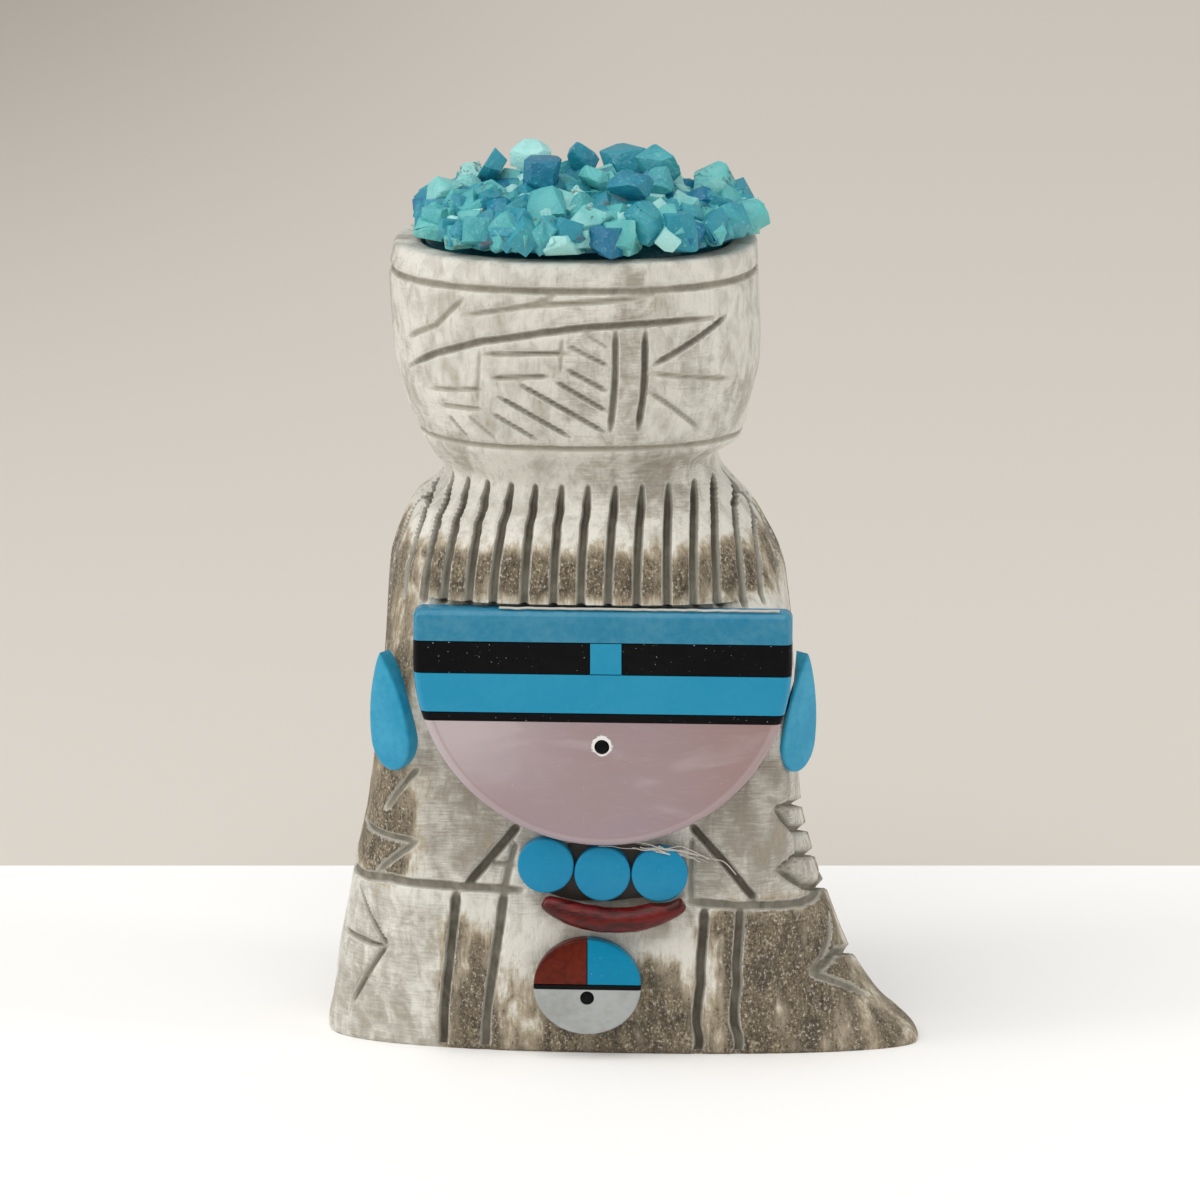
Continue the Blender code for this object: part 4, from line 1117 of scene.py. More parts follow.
@dataclass(frozen=True)
class Stain:
    """A soft slanted patch of the front, from its low to its high end."""

    low: tuple[float, float]
    high: tuple[float, float]
    half: float
    soft: float
    weight: float = 1.0
    front_only: float = 1.0

    def strength(self, x: np.ndarray, z: np.ndarray) -> np.ndarray:
        """How strong the patch is.

        Args:
            x: Places across.
            z: Heights.

        Returns:
            Numbers from 0 to weight.
        """
        along = (z - self.low[1]) / (self.high[1] - self.low[1])
        middle = self.low[0] + (self.high[0] - self.low[0]) * np.clip(along, 0.0, 1.0)
        beyond = np.maximum(0.0, np.maximum(self.low[1] - z, z - self.high[1]))
        gap = np.maximum(np.abs(x - middle) - self.half, 0.0) + beyond
        return self.weight * np.clip(1.0 - gap / self.soft, 0.0, 1.0)


BARK_STAINS = (
    Stain((-4.0, 51.8), (-4.0, 54.6), 26.0, 2.8, 0.82, 0.0),
    Stain((-25.0, 31.0), (-24.6, 56.0), 1.8, 2.6, 0.74, 0.3),
    Stain((-25.2, 20.5), (-23.4, 30.0), 1.9, 3.0, 0.92, 0.3),
    Stain((-17.2, 0.0), (-17.0, 14.5), 0.9, 2.2, 0.74),
    Stain((-14.2, 0.0), (-15.2, 12.0), 2.2, 3.0, 0.80),
    Stain((-9.5, 0.0), (-7.0, 7.0), 4.6, 4.0, 0.76),
    Stain((1.0, 0.0), (1.0, 3.5), 8.0, 4.0, 0.72),
    Stain((6.4, 3.0), (5.4, 9.0), 2.4, 4.0, 0.74),
    Stain((10.5, 0.0), (11.0, 8.5), 2.2, 3.0, 0.62),
    Stain((18.0, 0.0), (16.6, 14.2), 5.0, 5.0, 0.94),
    Stain((26.0, 0.0), (20.0, 12.0), 5.0, 5.0, 0.78),
)
SMOKE_AND_SHADE_STAINS = (
    # Painted shade: the chest round and below the discs is darkened with the smoke colour.
    Stain((-1.0, 17.5), (-1.0, 22.0), 9.0, 5.0, 0.75),
    Stain((13.5, 19.0), (13.5, 33.0), 4.2, 4.0, 0.80),
    Stain((-15.5, 21.0), (-17.0, 33.0), 4.2, 5.0, 0.74),
    Stain((20.0, 14.0), (19.0, 20.0), 3.0, 4.0, 0.60),
    Stain((2.0, 60.5), (2.0, 64.0), 5.0, 5.0, 0.55),
    Stain((-4.0, 68.0), (-4.0, 84.0), 1.2, 2.4, 0.42),
    Stain((1.2, 66.0), (1.2, 85.0), 0.9, 2.0, 0.46),
    Stain((8.0, 70.0), (8.0, 80.0), 1.0, 2.6, 0.34),
    Stain((-24.0, 64.0), (-25.0, 86.0), 1.5, 3.0, 0.36, 0.0),
    Stain((-19.0, 63.0), (-21.0, 70.0), 2.5, 3.0, 0.40),
    Stain((12.0, 64.0), (13.5, 72.0), 2.0, 3.0, 0.36),
    Stain((0.0, 0.0), (0.0, 1.5), 20.0, 3.0, 0.45),
    Stain((-25.0, 0.0), (-25.0, 15.0), 6.0, 7.0, 0.46),
)


@dataclass
class LineBook:
    """The lines that are carved into the antler, at (x, height) points of its front."""

    carving: AntlerCarving
    hair_front: tuple = (
        (-22.9, -19.6), (-20.7, -18.2), (-18.5, -16.4), (-15.8, -14.2), (-13.2, -11.6), (-9.9, -9.0),
        (-6.8, -6.2), (-3.9, -3.4), (-1.0, -0.5), (2.0, 2.3), (5.2, 5.1), (8.0, 7.8), (10.5, 9.7),
        (13.2, 11.3), (15.1, 12.6), (16.7, 13.6),
    )
    hair_behind: int = 18
    pot_rings: tuple = (66.15, 83.55)
    waist: float = 17.8
    side_turns: tuple = (-0.25, 0.0, 0.2, 0.4, 0.55)
    side_fall: float = 0.25

    def route(self, points: Iterable[tuple[float, float]]) -> tuple:
        """A route on the front as (angle, height) points.

        Args:
            points: Its (x, height) points.

        Returns:
            The route.
        """
        return tuple((self.carving.front_angle(x, z), z) for x, z in points)

    def hair(self) -> Iterator[Line]:
        """The flutes of the hair, those in front at their own places and the others evenly."""
        ends = []
        levels = np.linspace(ROBE_TOP + 0.2, NECK - 0.2, 9)
        for low, high in self.hair_front:
            spots = [(low + (high - low) * (i / 8) ** 1.5, z) for i, z in enumerate(levels)]
            route = ((self.carving.front_angle(low, levels[0]), ROBE_TOP - 0.6), *self.route(spots))
            ends.append((route[0][0], route[-1][0]))
            yield Line(route, 1.05, 0.85, 0.22, 0.95, 0.02, 0.16, 0.25, 0.4, 0.45)
        first, last = ends[-1], (ends[0][0] + 2 * math.pi, ends[0][1] + 2 * math.pi)
        for i in range(1, self.hair_behind + 1):
            share = i / (self.hair_behind + 1)
            foot, head = (a + (b - a) * share for a, b in zip(first, last))
            head = (foot + head) / 2
            route = ((foot, ROBE_TOP - 2.5), (foot, 55.0), (head, NECK + 0.2))
            yield Line(route, 1.05, 0.8, 0.3, 0.85, 0.05, 0.14, 0.2)

    def pot(self) -> Iterator[Line]:
        """The rings and strokes of the pot."""
        for height, tone in zip(self.pot_rings, (0.34, 0.5)):
            yield Line(((-math.pi, height), (math.pi, height)), 0.9, 0.38, 0.2, tone, 0.01, 0.01, 1.0)
        strokes = (
            (((-16.5, 80.6), (-9.2, 82.0), (0.4, 82.6), (3.7, 83.0)), 0.85, 0.3, 0.45),
            (((-16.3, 82.4), (-19.4, 79.1), (-22.5, 77.2)), 0.9, 0.35, 0.42),
            (((-6.6, 83.1), (-9.8, 81.8)), 0.7, 0.25, 0.34),
            (((-22.6, 73.8), (-19.3, 76.1), (-14.4, 77.9), (-7.8, 79.1), (-3.6, 79.7), (2.0, 80.0),
              (7.5, 80.1), (9.8, 80.0)), 1.05, 0.45, 0.72),
            (((11.1, 80.0), (3.7, 75.6)), 0.95, 0.42, 0.75),
            (((-0.3, 79.3), (-0.9, 68.3)), 0.95, 0.45, 0.72),
            (((2.8, 79.2), (2.0, 68.3)), 1.0, 0.5, 0.86),
            (((3.3, 74.7), (7.3, 74.0), (11.4, 73.2)), 0.85, 0.32, 0.38),
            (((3.2, 72.7), (8.3, 68.0)), 0.75, 0.32, 0.42),
            (((-14.6, 76.8), (-14.9, 70.9)), 0.6, 0.22, 0.24),
            (((-5.9, 78.4), (-6.1, 74.8)), 0.6, 0.22, 0.30),
            (((-14.1, 76.6), (-5.3, 77.0)), 0.8, 0.36, 0.55),
            (((-13.4, 74.0), (-7.3, 74.5)), 0.8, 0.36, 0.55),
            (((-20.0, 72.0), (-14.4, 72.7)), 0.8, 0.3, 0.40),
            (((-18.9, 70.3), (-14.5, 70.4)), 0.8, 0.32, 0.48),
            (((-3.6, 79.1), (-1.1, 77.5)), 0.55, 0.22, 0.40),
            (((-5.3, 77.8), (-1.1, 75.6)), 0.75, 0.32, 0.55),
            (((-5.4, 75.2), (-1.3, 72.9)), 0.8, 0.36, 0.62),
            (((-6.6, 73.9), (-1.3, 70.6)), 0.8, 0.38, 0.70),
            (((-10.5, 73.5), (-1.4, 68.1)), 0.8, 0.38, 0.66),
            (((-12.8, 72.0), (-5.2, 67.6)), 0.8, 0.38, 0.70),
            (((-13.4, 70.0), (-8.7, 67.2)), 0.75, 0.34, 0.60),
            (((-15.9, 69.5), (-13.1, 67.0)), 0.65, 0.26, 0.42),
            (((-18.1, 69.2), (-16.0, 66.9)), 0.65, 0.26, 0.42),
        )
        for points, width, depth, tone in strokes:
            yield Line(self.route(points), width * 0.88, depth * 0.9, 0.2, tone * 0.92, ragged=0.6)
        crack = ((1.9, 82.3), (3.0, 80.6), (4.3, 79.6), (5.0, 78.2), (6.0, 76.9))
        yield Line(self.route(crack), 0.24, 0.05, 0.1, 0.2, 0.1, 0.3, 0.2, 0.5)

    def robe(self) -> Iterator[Line]:
        """The waist line, the strokes of the shawl and the uprights of the skirt."""
        start = self.carving.front_angle(7.7, self.waist - 0.6)
        middle = self.carving.front_angle(19.5, 16.0)
        left = self.carving.front_angle(-27.2, 18.5) + 2 * math.pi
        mid_left = self.carving.front_angle(-24.5, 19.0) + 2 * math.pi
        end = self.carving.front_angle(-10.5, 18.2) + 2 * math.pi
        yield Line(((start, 17.2), (middle, 16.1), (0.3, 16.4), (math.pi / 2, 17.6), (math.pi, 18.0),
                    (left, 18.5), (mid_left, 19.0), (end, 18.2)), 1.15, 0.5, 0.5, 0.62, 0.02, 0.02, 0.6)
        strokes = (
            (((-10.8, 25.2), (-16.05, 18.8)), 1.15, 0.60, 0.85),
            (((7.9, 25.5), (14.6, 17.5)), 1.1, 0.60, 0.92),
            (((-11.0, 23.2), (-12.1, 18.5)), 0.9, 0.40, 0.55),
            (((7.9, 24.0), (7.8, 17.3)), 0.8, 0.32, 0.45),
            (((-13.3, 21.2), (-11.0, 21.0)), 0.8, 0.35, 0.6),
            (((8.3, 20.0), (10.8, 20.0)), 0.7, 0.28, 0.35),
            (((-17.3, 17.7), (-18.2, 9.5), (-19.1, -0.4)), 1.2, 0.70, 0.78),
            (((-12.2, 17.7), (-13.4, 9.0), (-14.6, -0.4)), 1.15, 0.65, 0.70),
            (((9.2, 16.2), (8.9, 8.0), (8.2, -0.4)), 1.2, 0.70, 0.84),
            (((13.1, 16.3), (12.8, 8.0), (12.5, -0.4)), 1.2, 0.70, 0.76),
        )
        for points, width, depth, tone in strokes:
            yield Line(self.route(points), width, depth, 0.6, tone, 0.06, 0.04, 0.5, 0.7)

    def chevrons(self) -> Iterator[Line]:
        """The notches at the sides. Those that reach the silhouette run round the edge."""
        arms = (
            ((-21.4, 31.3), (-25.1, 26.4), 0.95),
            ((-21.7, 23.5), (-27.7, 23.7), 0.9),
            ((-21.5, 23.4), (-26.0, 19.4), 0.9),
            ((-24.9, 11.2), (-28.1, 17.1), 0.75),
            ((-25.4, 11.1), (-29.8, 11.6), 0.8),
            ((-25.1, 11.0), (-29.0, 4.1), 0.8),
            ((20.6, 8.5), (22.4, 13.6), 0.9),
            ((20.8, 8.3), (26.6, 5.2), 1.0),
        )
        for apex, end, width in arms:
            yield Line(self.route((apex, end)), width, 0.6, 0.2, 0.55, 0.1, 0.2, 0.4, 0.6)
        edges = (
            ((16.6, 27.5), (18.4, 27.3), 1.0),
            ((16.7, 27.4), (18.6, 24.2), 1.0),
            ((17.0, 20.4), (19.0, 21.3), 0.9),
            ((17.1, 20.2), (19.9, 17.6), 1.1),
            ((20.7, 8.4), (23.2, 10.0), 1.2),
        )
        for apex, end, width in edges:
            route = list(self.route((apex, end)))
            turns = np.array([route[-1][0], *self.side_turns])
            level = np.full(len(turns), end[1])
            depths = self.carving.surface(turns, level, np.ones(len(turns), bool))[:, 1]
            falls = (depths[1:] - depths[0]) * self.side_fall
            route += [(turn, end[1] - fall) for turn, fall in zip(self.side_turns, falls)]
            yield Line(tuple(route), width, 1.2, 0.3, 0.5, 0.1, 0.10, 0.4, 0.5)

    def all_lines(self) -> list[Line]:
        """Every carved line."""
        return [*self.hair(), *self.pot(), *self.robe(), *self.chevrons()]


def plate_shape(outline: Sequence[tuple[float, float]], thickness: float, chamfer: float,
                steps: int = 3, back: float = SEAT_GAP) -> bmesh.types.BMesh:
    """A flat stone with its outline in XZ, its face along -Y and a rounded edge.

    Args:
        outline: The outline's (x, z) points.
        thickness: How thick the stone is.
        chamfer: How far the face's edge is rounded.
        steps: Steps of the rounding.
        back: How far the stone's back stands off.

    Returns:
        The stone.
    """
    shape = bmesh.new()
    face = shape.faces.new([shape.verts.new((x, -back, z)) for x, z in outline])
    made = bmesh.ops.extrude_face_region(shape, geom=[face])
    moved = [item for item in made["geom"] if isinstance(item, bmesh.types.BMVert)]
    bmesh.ops.translate(shape, vec=(0.0, -thickness, 0.0), verts=moved)
    bmesh.ops.recalc_face_normals(shape, faces=shape.faces)
    front = set(moved)
    rim = [edge for edge in shape.edges if all(vertex in front for vertex in edge.verts)]
    if chamfer:
        bmesh.ops.bevel(shape, geom=rim, offset=chamfer, segments=steps, affect="EDGES",
                        profile=0.5, material=-1)
    return shape


def trim(shape: bmesh.types.BMesh, point: Sequence[float], outward: Sequence[float]) -> None:
    """Cuts off what lies beyond a plane and closes the cut.

    Args:
        shape: The shape that is cut.
        point: A point of the plane.
        outward: The side that goes.
    """
    geometry = [*shape.verts, *shape.edges, *shape.faces]
    found = bmesh.ops.bisect_plane(shape, geom=geometry, plane_co=point, plane_no=outward, clear_outer=True)
    edges = [item for item in found["geom_cut"] if isinstance(item, bmesh.types.BMEdge)]
    if edges:
        bmesh.ops.edgeloop_fill(shape, edges=edges)


def bored(shape: bmesh.types.BMesh, radius: float, x: float, z: float, sides: int) -> bmesh.types.BMesh:
    """Bores a round hole through a stone along Y.

    Args:
        shape: The stone, which is freed.
        radius: The hole's radius.
        x: Its place across.
        z: Its height.
        sides: Its sides.

    Returns:
        The bored stone.
    """
    tool = bmesh.new()
    lie = Matrix.Translation((x, 0.0, z)) @ Matrix.Rotation(math.pi / 2, 4, "X")
    bmesh.ops.create_cone(tool, cap_ends=True, segments=sides, radius1=radius, radius2=radius,
                          depth=DRILL_LENGTH, matrix=lie)
    stone, drill = linked("stone", mesh_of("stone", shape)), linked("drill", mesh_of("drill", tool))
    modifier = stone.modifiers.new("bore", "BOOLEAN")
    modifier.solver = "EXACT"
    modifier.operation = "DIFFERENCE"
    modifier.object = drill
    made = evaluated(stone)
    bpy.data.objects.remove(drill, do_unlink=True)
    return made


def oval(half_width: float, half_height: float, sides: int) -> list[tuple[float, float]]:
    """Points of an oval.

    Args:
        half_width: Half its width.
        half_height: Half its height.
        sides: How many points.

    Returns:
        The points.
    """
    turns = [2 * math.pi * i / sides for i in range(sides)]
    return [(half_width * math.cos(turn), half_height * math.sin(turn)) for turn in turns]


@dataclass(frozen=True)
class Dot:
    """A jet dot that is let into one stone of an inlay."""

    name: str
    host: Paint
    radius: float
    height: float
    sunk: float
    chamfer: float
    sides: int = 32


Row = tuple[str, tuple[float, float], tuple[float, float], Paint, str]


@dataclass
class Inlay:
    """A blank that is cut into its stones at place (x, height) of the front."""

    blank: bmesh.types.BMesh
    thickness: float
    place: tuple[float, float]
    dot: Dot

    def stone(self, low: tuple[float, float], high: tuple[float, float]) -> bmesh.types.BMesh:
        """One stone, cut on its four sides half a glue line in.

        Args:
            low: Its low left corner in XZ.
            high: Its high right corner.

        Returns:
            The stone.
        """
        stone = self.blank.copy()
        for axis, ends in ((0, (low[0], high[0])), (2, (low[1], high[1]))):
            for side, end in zip((-1.0, 1.0), ends):
                point, outward = [0.0, 0.0, 0.0], [0.0, 0.0, 0.0]
                point[axis] = end - side * GLUE_LINE / 2
                outward[axis] = side
                trim(stone, point, outward)
        return stone

    def build(self, dresser: Dresser, rows: Iterable[Row]) -> None:
        """Makes the stones and the dot.

        Args:
            dresser: Makes the pieces.
            rows: Name, low corner, high corner, finish and slot of each stone.
        """
        dot, (x, height) = self.dot, self.place
        for name, low, high, paint, slot in rows:
            stone = self.stone(low, high)
            if paint is dot.host:
                stone = bored(stone, dot.radius + GLUE_LINE, 0.0, dot.height, dot.sides)
            on_front(stone, x, height)
            dresser.piece(name, stone, paint, [name], slot)
        self.blank.free()
        outline = oval(dot.radius, dot.radius, dot.sides)
        jet = plate_shape(outline, self.thickness - dot.sunk, dot.chamfer)
        on_front(jet, x, height + dot.height)
        dresser.piece(dot.name, jet, Paint.JET, [dot.name], "jet")


@dataclass
class InlaidFace:
    """The face slab: one rounded blank cut into its stones."""

    radius: float = 20.05
    brow: float = 5.5
    thickness: float = 2.8
    centre_x: float = -1.6
    centre: float = 43.95
    chamfer: float = 0.8
    corner: float = 0.9
    corner_steps: int = 6
    forehead: float = 3.4
    eyes: float = 3.4
    cheek: float = 4.25
    strip: float = 0.9
    nose: float = 3.4
    nose_offset: float = 0.4
    mouth_radius: float = 0.7
    mouth_drop: float = 2.7

    def outline(self, grow: float = 0.0, points: int = 120) -> list[tuple[float, float]]:
        """The slab about the centre of its chin.

        Args:
            grow: How much larger.
            points: Points of the chin.

        Returns:
            The outline's points.
        """
        radius = self.radius + grow
        arc = [math.pi + math.pi * i / points for i in range(points + 1)]
        chin = [(radius * math.cos(turn), radius * math.sin(turn)) for turn in arc]
        turns = [math.pi / 2 * i / self.corner_steps for i in range(self.corner_steps + 1)]
        side, top = radius - self.corner, self.brow + grow - self.corner
        right = [(side + self.corner * math.cos(turn), top + self.corner * math.sin(turn)) for turn in turns]
        return chin + right + [(-x, z) for x, z in reversed(right)]

    def build(self, dresser: Dresser) -> None:
        """Makes the stones.

        Args:
            dresser: Makes the pieces.
        """
        blank = plate_shape(self.outline(), self.thickness, self.chamfer)
        side = self.radius + 1.0
        eye_top = self.brow - self.forehead
        eye_foot = eye_top - self.eyes
        cheek_foot = eye_foot - self.cheek
        strip_foot = cheek_foot - self.strip
        left, right = self.nose_offset - self.nose / 2, self.nose_offset + self.nose / 2
        rows = (
            ("face_forehead_band", (-side, eye_top), (side, side), Paint.BROW_TURQUOISE, "turquoise"),
            ("face_left_eye", (-side, eye_foot), (left, eye_top), Paint.JET, "jet"),
            ("face_nose_square", (left, eye_foot), (right, eye_top), Paint.FACE_TURQUOISE, "turquoise"),
            ("face_right_eye", (right, eye_foot), (side, eye_top), Paint.JET, "jet"),
            ("face_cheek_band", (-side, cheek_foot), (side, eye_foot), Paint.FACE_TURQUOISE, "turquoise"),
            ("face_divider_strip", (-side, strip_foot), (side, cheek_foot), Paint.JET, "jet"),
            ("face_chin_shell", (-side, -side), (side, strip_foot), Paint.PINK_SHELL, "pink_shell"),
        )
        drop = strip_foot - self.mouth_drop
        mouth = Dot("face_mouth_dot", Paint.PINK_SHELL, self.mouth_radius, drop, 0.06, 0.12)
        Inlay(blank, self.thickness, (self.centre_x, self.centre), mouth).build(dresser, rows)


@dataclass
class Necklace:
    """Three discs that hang under the chin, and the coral branch below them."""

    face: InlaidFace
    radius: float = 3.0
    thickness: float = 1.5
    chamfer: float = 0.25
    half_span: float = 7.5
    sag: float = 2.0
    offset: float = 1.2
    thick: float = 1.45
    thin: float = 0.8
    coral_height: float = 15.55
    round_sides: int = 72
    coral_steps: int = 90
    worn_from: float = 1.5

    def places(self) -> dict[str, tuple[float, float]]:
        """The discs' places by side: two touch the chin and the right one lies level with the middle."""
        reach = self.face.radius + SEAT_GAP + self.radius
        pitch = 2 * self.radius + GLUE_LINE
        swing = 2 * math.asin(pitch / (2 * reach))
        x, z = self.face.centre_x, self.face.centre
        return {
            "left": (x - reach * math.sin(swing), z - reach * math.cos(swing)),
            "middle": (x, z - reach),
            "right": (x + pitch, z - reach),
        }

    def build(self, dresser: Dresser) -> None:
        """Makes the discs and the branch.

        Args:
            dresser: Makes the pieces.
        """
        for side, (x, z) in self.places().items():
            disc = plate_shape(oval(self.radius, self.radius, self.round_sides), self.thickness, self.chamfer)
            on_front(disc, x, z)
            name = f"necklace_disc_{side}"
            dresser.piece(name, disc, Paint.DISC_TURQUOISE, [name], "turquoise")
        x = self.face.centre_x + self.offset
        branch = self.branch()
        for disc_x, disc_z in self.places().values():
            spot = disc_x - x, disc_z - self.coral_height
            branch = bored(branch, self.radius + SEAT_GAP, *spot, self.round_sides)
        on_front(branch, x, self.coral_height)
        dresser.piece("coral_branch", branch, Paint.CORAL, ["coral_branch"], "red_coral")

    def branch(self) -> bmesh.types.BMesh:
        """The branch about its middle, as a tube along a bent line with worn ridges."""
        places, radii = [], []
        for i in range(self.coral_steps):
            share = 2 * i / (self.coral_steps - 1) - 1
            places.append((share * self.half_span, 0.0, self.sag * share * share))
            end = min(1.0, (1 - abs(share)) * 11.0)
            blunt = math.sqrt(max(0.0, 1 - (1 - end) ** 2)) * 0.35 + 0.65
            radii.append((self.thin + (self.thick - self.thin) * (1 - share ** 4)) * blunt)
        shape = tube(places, radii, 10)
        for vertex in shape.verts:
            x, y, z = vertex.co
            bump = noise.noise(Vector((x * 0.55, y * 0.9, z * 0.9)))
            ridge = noise.noise(Vector((x * 1.6 + z * 1.2, y * 0.4, 3.0)))
            ridge *= 0.4 if x > self.worn_from else 0.15
            shrink = 1.0 - 0.05 * (bump + 1.0) - 0.10 * max(0.0, ridge)
            middle = self.sag * (x / self.half_span) ** 2
            vertex.co = (x, y * shrink, middle + (z - middle) * shrink)
        bmesh.ops.translate(shape, vec=(0.0, -SEAT_GAP - self.thick, 0.0), verts=shape.verts)
        return shape


@dataclass
class Pendant:
    """The round pendant: two quarters over a bar and a shell half with a dot."""

    half_width: float = 5.75
    half_height: float = 5.25
    thickness: float = 1.6
    x: float = -3.2
    height: float = 8.15
    bar: float = 0.5
    dot: float = 0.65
    dot_drop: float = 0.95
    chamfer: float = 0.25

    def build(self, dresser: Dresser) -> None:
        """Makes the five stones.

        Args:
            dresser: Makes the pieces.
        """
        blank = plate_shape(oval(self.half_width, self.half_height, 110), self.thickness, self.chamfer)
        side, bar = self.half_width + 1.0, self.bar / 2
        rows = (
            ("pendant_coral_quarter", (-side, bar), (0.0, side), Paint.RED_QUARTER, "red_coral"),
            ("pendant_turquoise_quarter", (0.0, bar), (side, side), Paint.PENDANT_TURQUOISE, "turquoise"),
            ("pendant_jet_bar", (-side, -bar), (side, bar), Paint.JET, "jet"),
            ("pendant_shell_half", (-side, -side), (side, -bar), Paint.WHITE_SHELL, "white_shell"),
        )
        dot = Dot("pendant_jet_dot", Paint.WHITE_SHELL, self.dot, -bar - self.dot_drop, 0.04, 0.1)
        Inlay(blank, self.thickness, (self.x, self.height), dot).build(dresser, rows)


@dataclass
class Ears:
    """The two turquoise drops, turned outward and let into the sides of the body."""

    carving: AntlerCarving
    face: InlaidFace
    width: float = 4.9
    upper: float = 9.4
    lower: float = 3.4
    thickness: float = 2.0
    chamfer: float = 0.3
    sunk: float = 0.5
    drop: float = 14.8
    lean: float = 8.0
    left_turn: float = 30.0
    right_turn: float = 47.0
    left_inset: float = 2.7
    right_inset: float = 0.3
    arc: int = 26

    def outline(self) -> list[tuple[float, float]]:
        """A drop about its widest point: pointed above, round below."""
        half = self.width / 2
        right = []
        for i in range(1, self.arc + 1):
            share = i / self.arc
            right.append((half * math.sin(share * math.pi / 2) ** 0.8, self.upper * (1 - share)))
        for i in range(1, self.arc):
            turn = math.pi / 2 * i / self.arc
            right.append((half * math.cos(turn), -self.lower * math.sin(turn)))
        left = [(-x, z) for x, z in reversed(right)]
        return [(0.0, self.upper), *right, (0.0, -self.lower), *left]

    def build(self, dresser: Dresser) -> None:
        """Makes the ears.

        Args:
            dresser: Makes the pieces.
        """
        height = (self.face.centre + self.face.brow - self.drop) * math.cos(LEAN)
        section = self.carving.section(np.array([height]))[0]
        sides = (
            ("left", section[0] + self.left_inset, -self.left_turn, -self.lean),
            ("right", section[2] - self.right_inset, self.right_turn, self.lean),
        )
        for side, x, turn, tilt in sides:
            angle = self.carving.front_angle(x, height)
            spot = self.carving.spot(angle, height, True)
            ear = plate_shape(self.outline(), self.thickness, self.chamfer, 3, -self.sunk)
            spin = Matrix.Rotation(math.radians(turn), 4, "Z") @ Matrix.Rotation(math.radians(tilt), 4, "Y")
            place = Matrix.Translation(spot) @ spin
            bmesh.ops.transform(ear, matrix=place, verts=ear.verts)
            self.grind(ear, side)
            name = f"ear_{side}"
            dresser.piece(name, ear, Paint.EAR_TURQUOISE, [name], "turquoise")

    def grind(self, ear: bmesh.types.BMesh, side: str) -> None:
        """Takes off what would lie inside the slab's clearance.

        Args:
            ear: The ear, in place.
            side: Which ear.
        """
        reach = self.face.radius + SEAT_GAP
        for vertex in ear.verts:
            x, height = vertex.co.x - self.face.centre_x, vertex.co.z - self.face.centre
            if height >= 0.0:
                limit = reach
            elif -height < reach:
                limit = math.sqrt(reach * reach - height * height)
            else:
                continue
            if side == "left" and x > -limit:
                vertex.co.x = self.face.centre_x - limit
            if side == "right" and x < limit:
                vertex.co.x = self.face.centre_x + limit


class Chip:
    """A sawn and broken chip: a block with some of its corners struck off."""

    small = 2.4
    large = 4.6
    tilt = 30.0

    def __init__(self, rng: random.Random, spot: Vector, outward: Vector) -> None:
        """Draws the chip's size, turn and struck corners.

        Args:
            rng: The source of chance.
            spot: The chip's middle.
            outward: The direction out of the heap there.
        """
        size = rng.uniform(self.small, self.large)
        self.spot = spot
        self.outward = outward
        self.half = Vector((0.5, rng.uniform(0.33, 0.47), rng.uniform(0.27, 0.4))) * size
        tilt = Matrix.Rotation(math.radians(rng.gauss(0.0, self.tilt)), 3, "X")
        spin = Matrix.Rotation(rng.uniform(0.0, 2 * math.pi), 3, "Z")
        twist = Matrix.Rotation(rng.uniform(0.0, 2 * math.pi), 3, "Z")
        self.turn = outward.to_track_quat("Z", "Y").to_matrix() @ spin @ tilt @ twist
        self.cuts = []
        for _ in range(rng.choice((2, 2, 3))):
            corner = Vector([rng.choice((-1, 1)) * rng.uniform(0.2, 1.0) for _ in range(3)])
            normal = corner.normalized()
            reach = sum(abs(n) * h for n, h in zip(normal, self.half))
            self.cuts.append((normal, rng.uniform(0.45, 0.75) * reach))

    def shrink(self, share: float) -> None:
        """Makes the chip smaller about its middle.

        Args:
            share: The new size as a share.
        """
        self.half = self.half * share
        self.cuts = [(normal, distance * share) for normal, distance in self.cuts]

    def shape(self) -> bmesh.types.BMesh:
        """The chip as a closed body, in place."""
        shape = bmesh.new()
        bmesh.ops.create_cube(shape, size=1.0, matrix=Matrix.Diagonal((*(2 * self.half), 1.0)))
        for normal, distance in self.cuts:
            trim(shape, normal * distance, normal)
        place = Matrix.Translation(self.spot) @ self.turn.to_4x4()
        bmesh.ops.transform(shape, matrix=place, verts=shape.verts)
        return shape


Facts = tuple[list[Vector], list[Vector]]


def faces_of(shape: bmesh.types.BMesh) -> Facts:
    """The corners of a convex body and the directions of its faces.

    Args:
        shape: The body, which is freed.

    Returns:
        Corners and directions.
    """
    shape.normal_update()
    corners = [vertex.co.copy() for vertex in shape.verts]
    normals = [face.normal.copy() for face in shape.faces]
    shape.free()
    return corners, normals


def apart(first: Facts, second: Facts, gap: float = SEAT_GAP) -> bool:
    """Whether a face of either convex body parts the two by a gap.

    Args:
        first: One body.
        second: The other body.
        gap: The gap.

    Returns:
        True if it does.
    """
    for (corners, normals), (others, _) in ((first, second), (second, first)):
        for normal in normals:
            reach = max(normal.dot(corner) for corner in corners)
            if min(normal.dot(corner) for corner in others) > reach + gap:
                return True
    return False


def inside_box(corners: Iterable[Vector]) -> bool:
    """Whether points lie in the box round the solids.

    Args:
        corners: The points, in millimetres.

    Returns:
        True if all do.
    """
    low, high = (Vector(corner) / MM for corner in CAD_BOX)
    return all(low[i] < corner[i] < high[i] for corner in corners for i in range(3))


def join(into: bmesh.types.BMesh, shape: bmesh.types.BMesh) -> None:
    """Adds a shape to another one.

    Args:
        into: The shape that grows.
        shape: The added shape, which is freed.
    """
    shape_of(mesh_of("joined", shape), into)


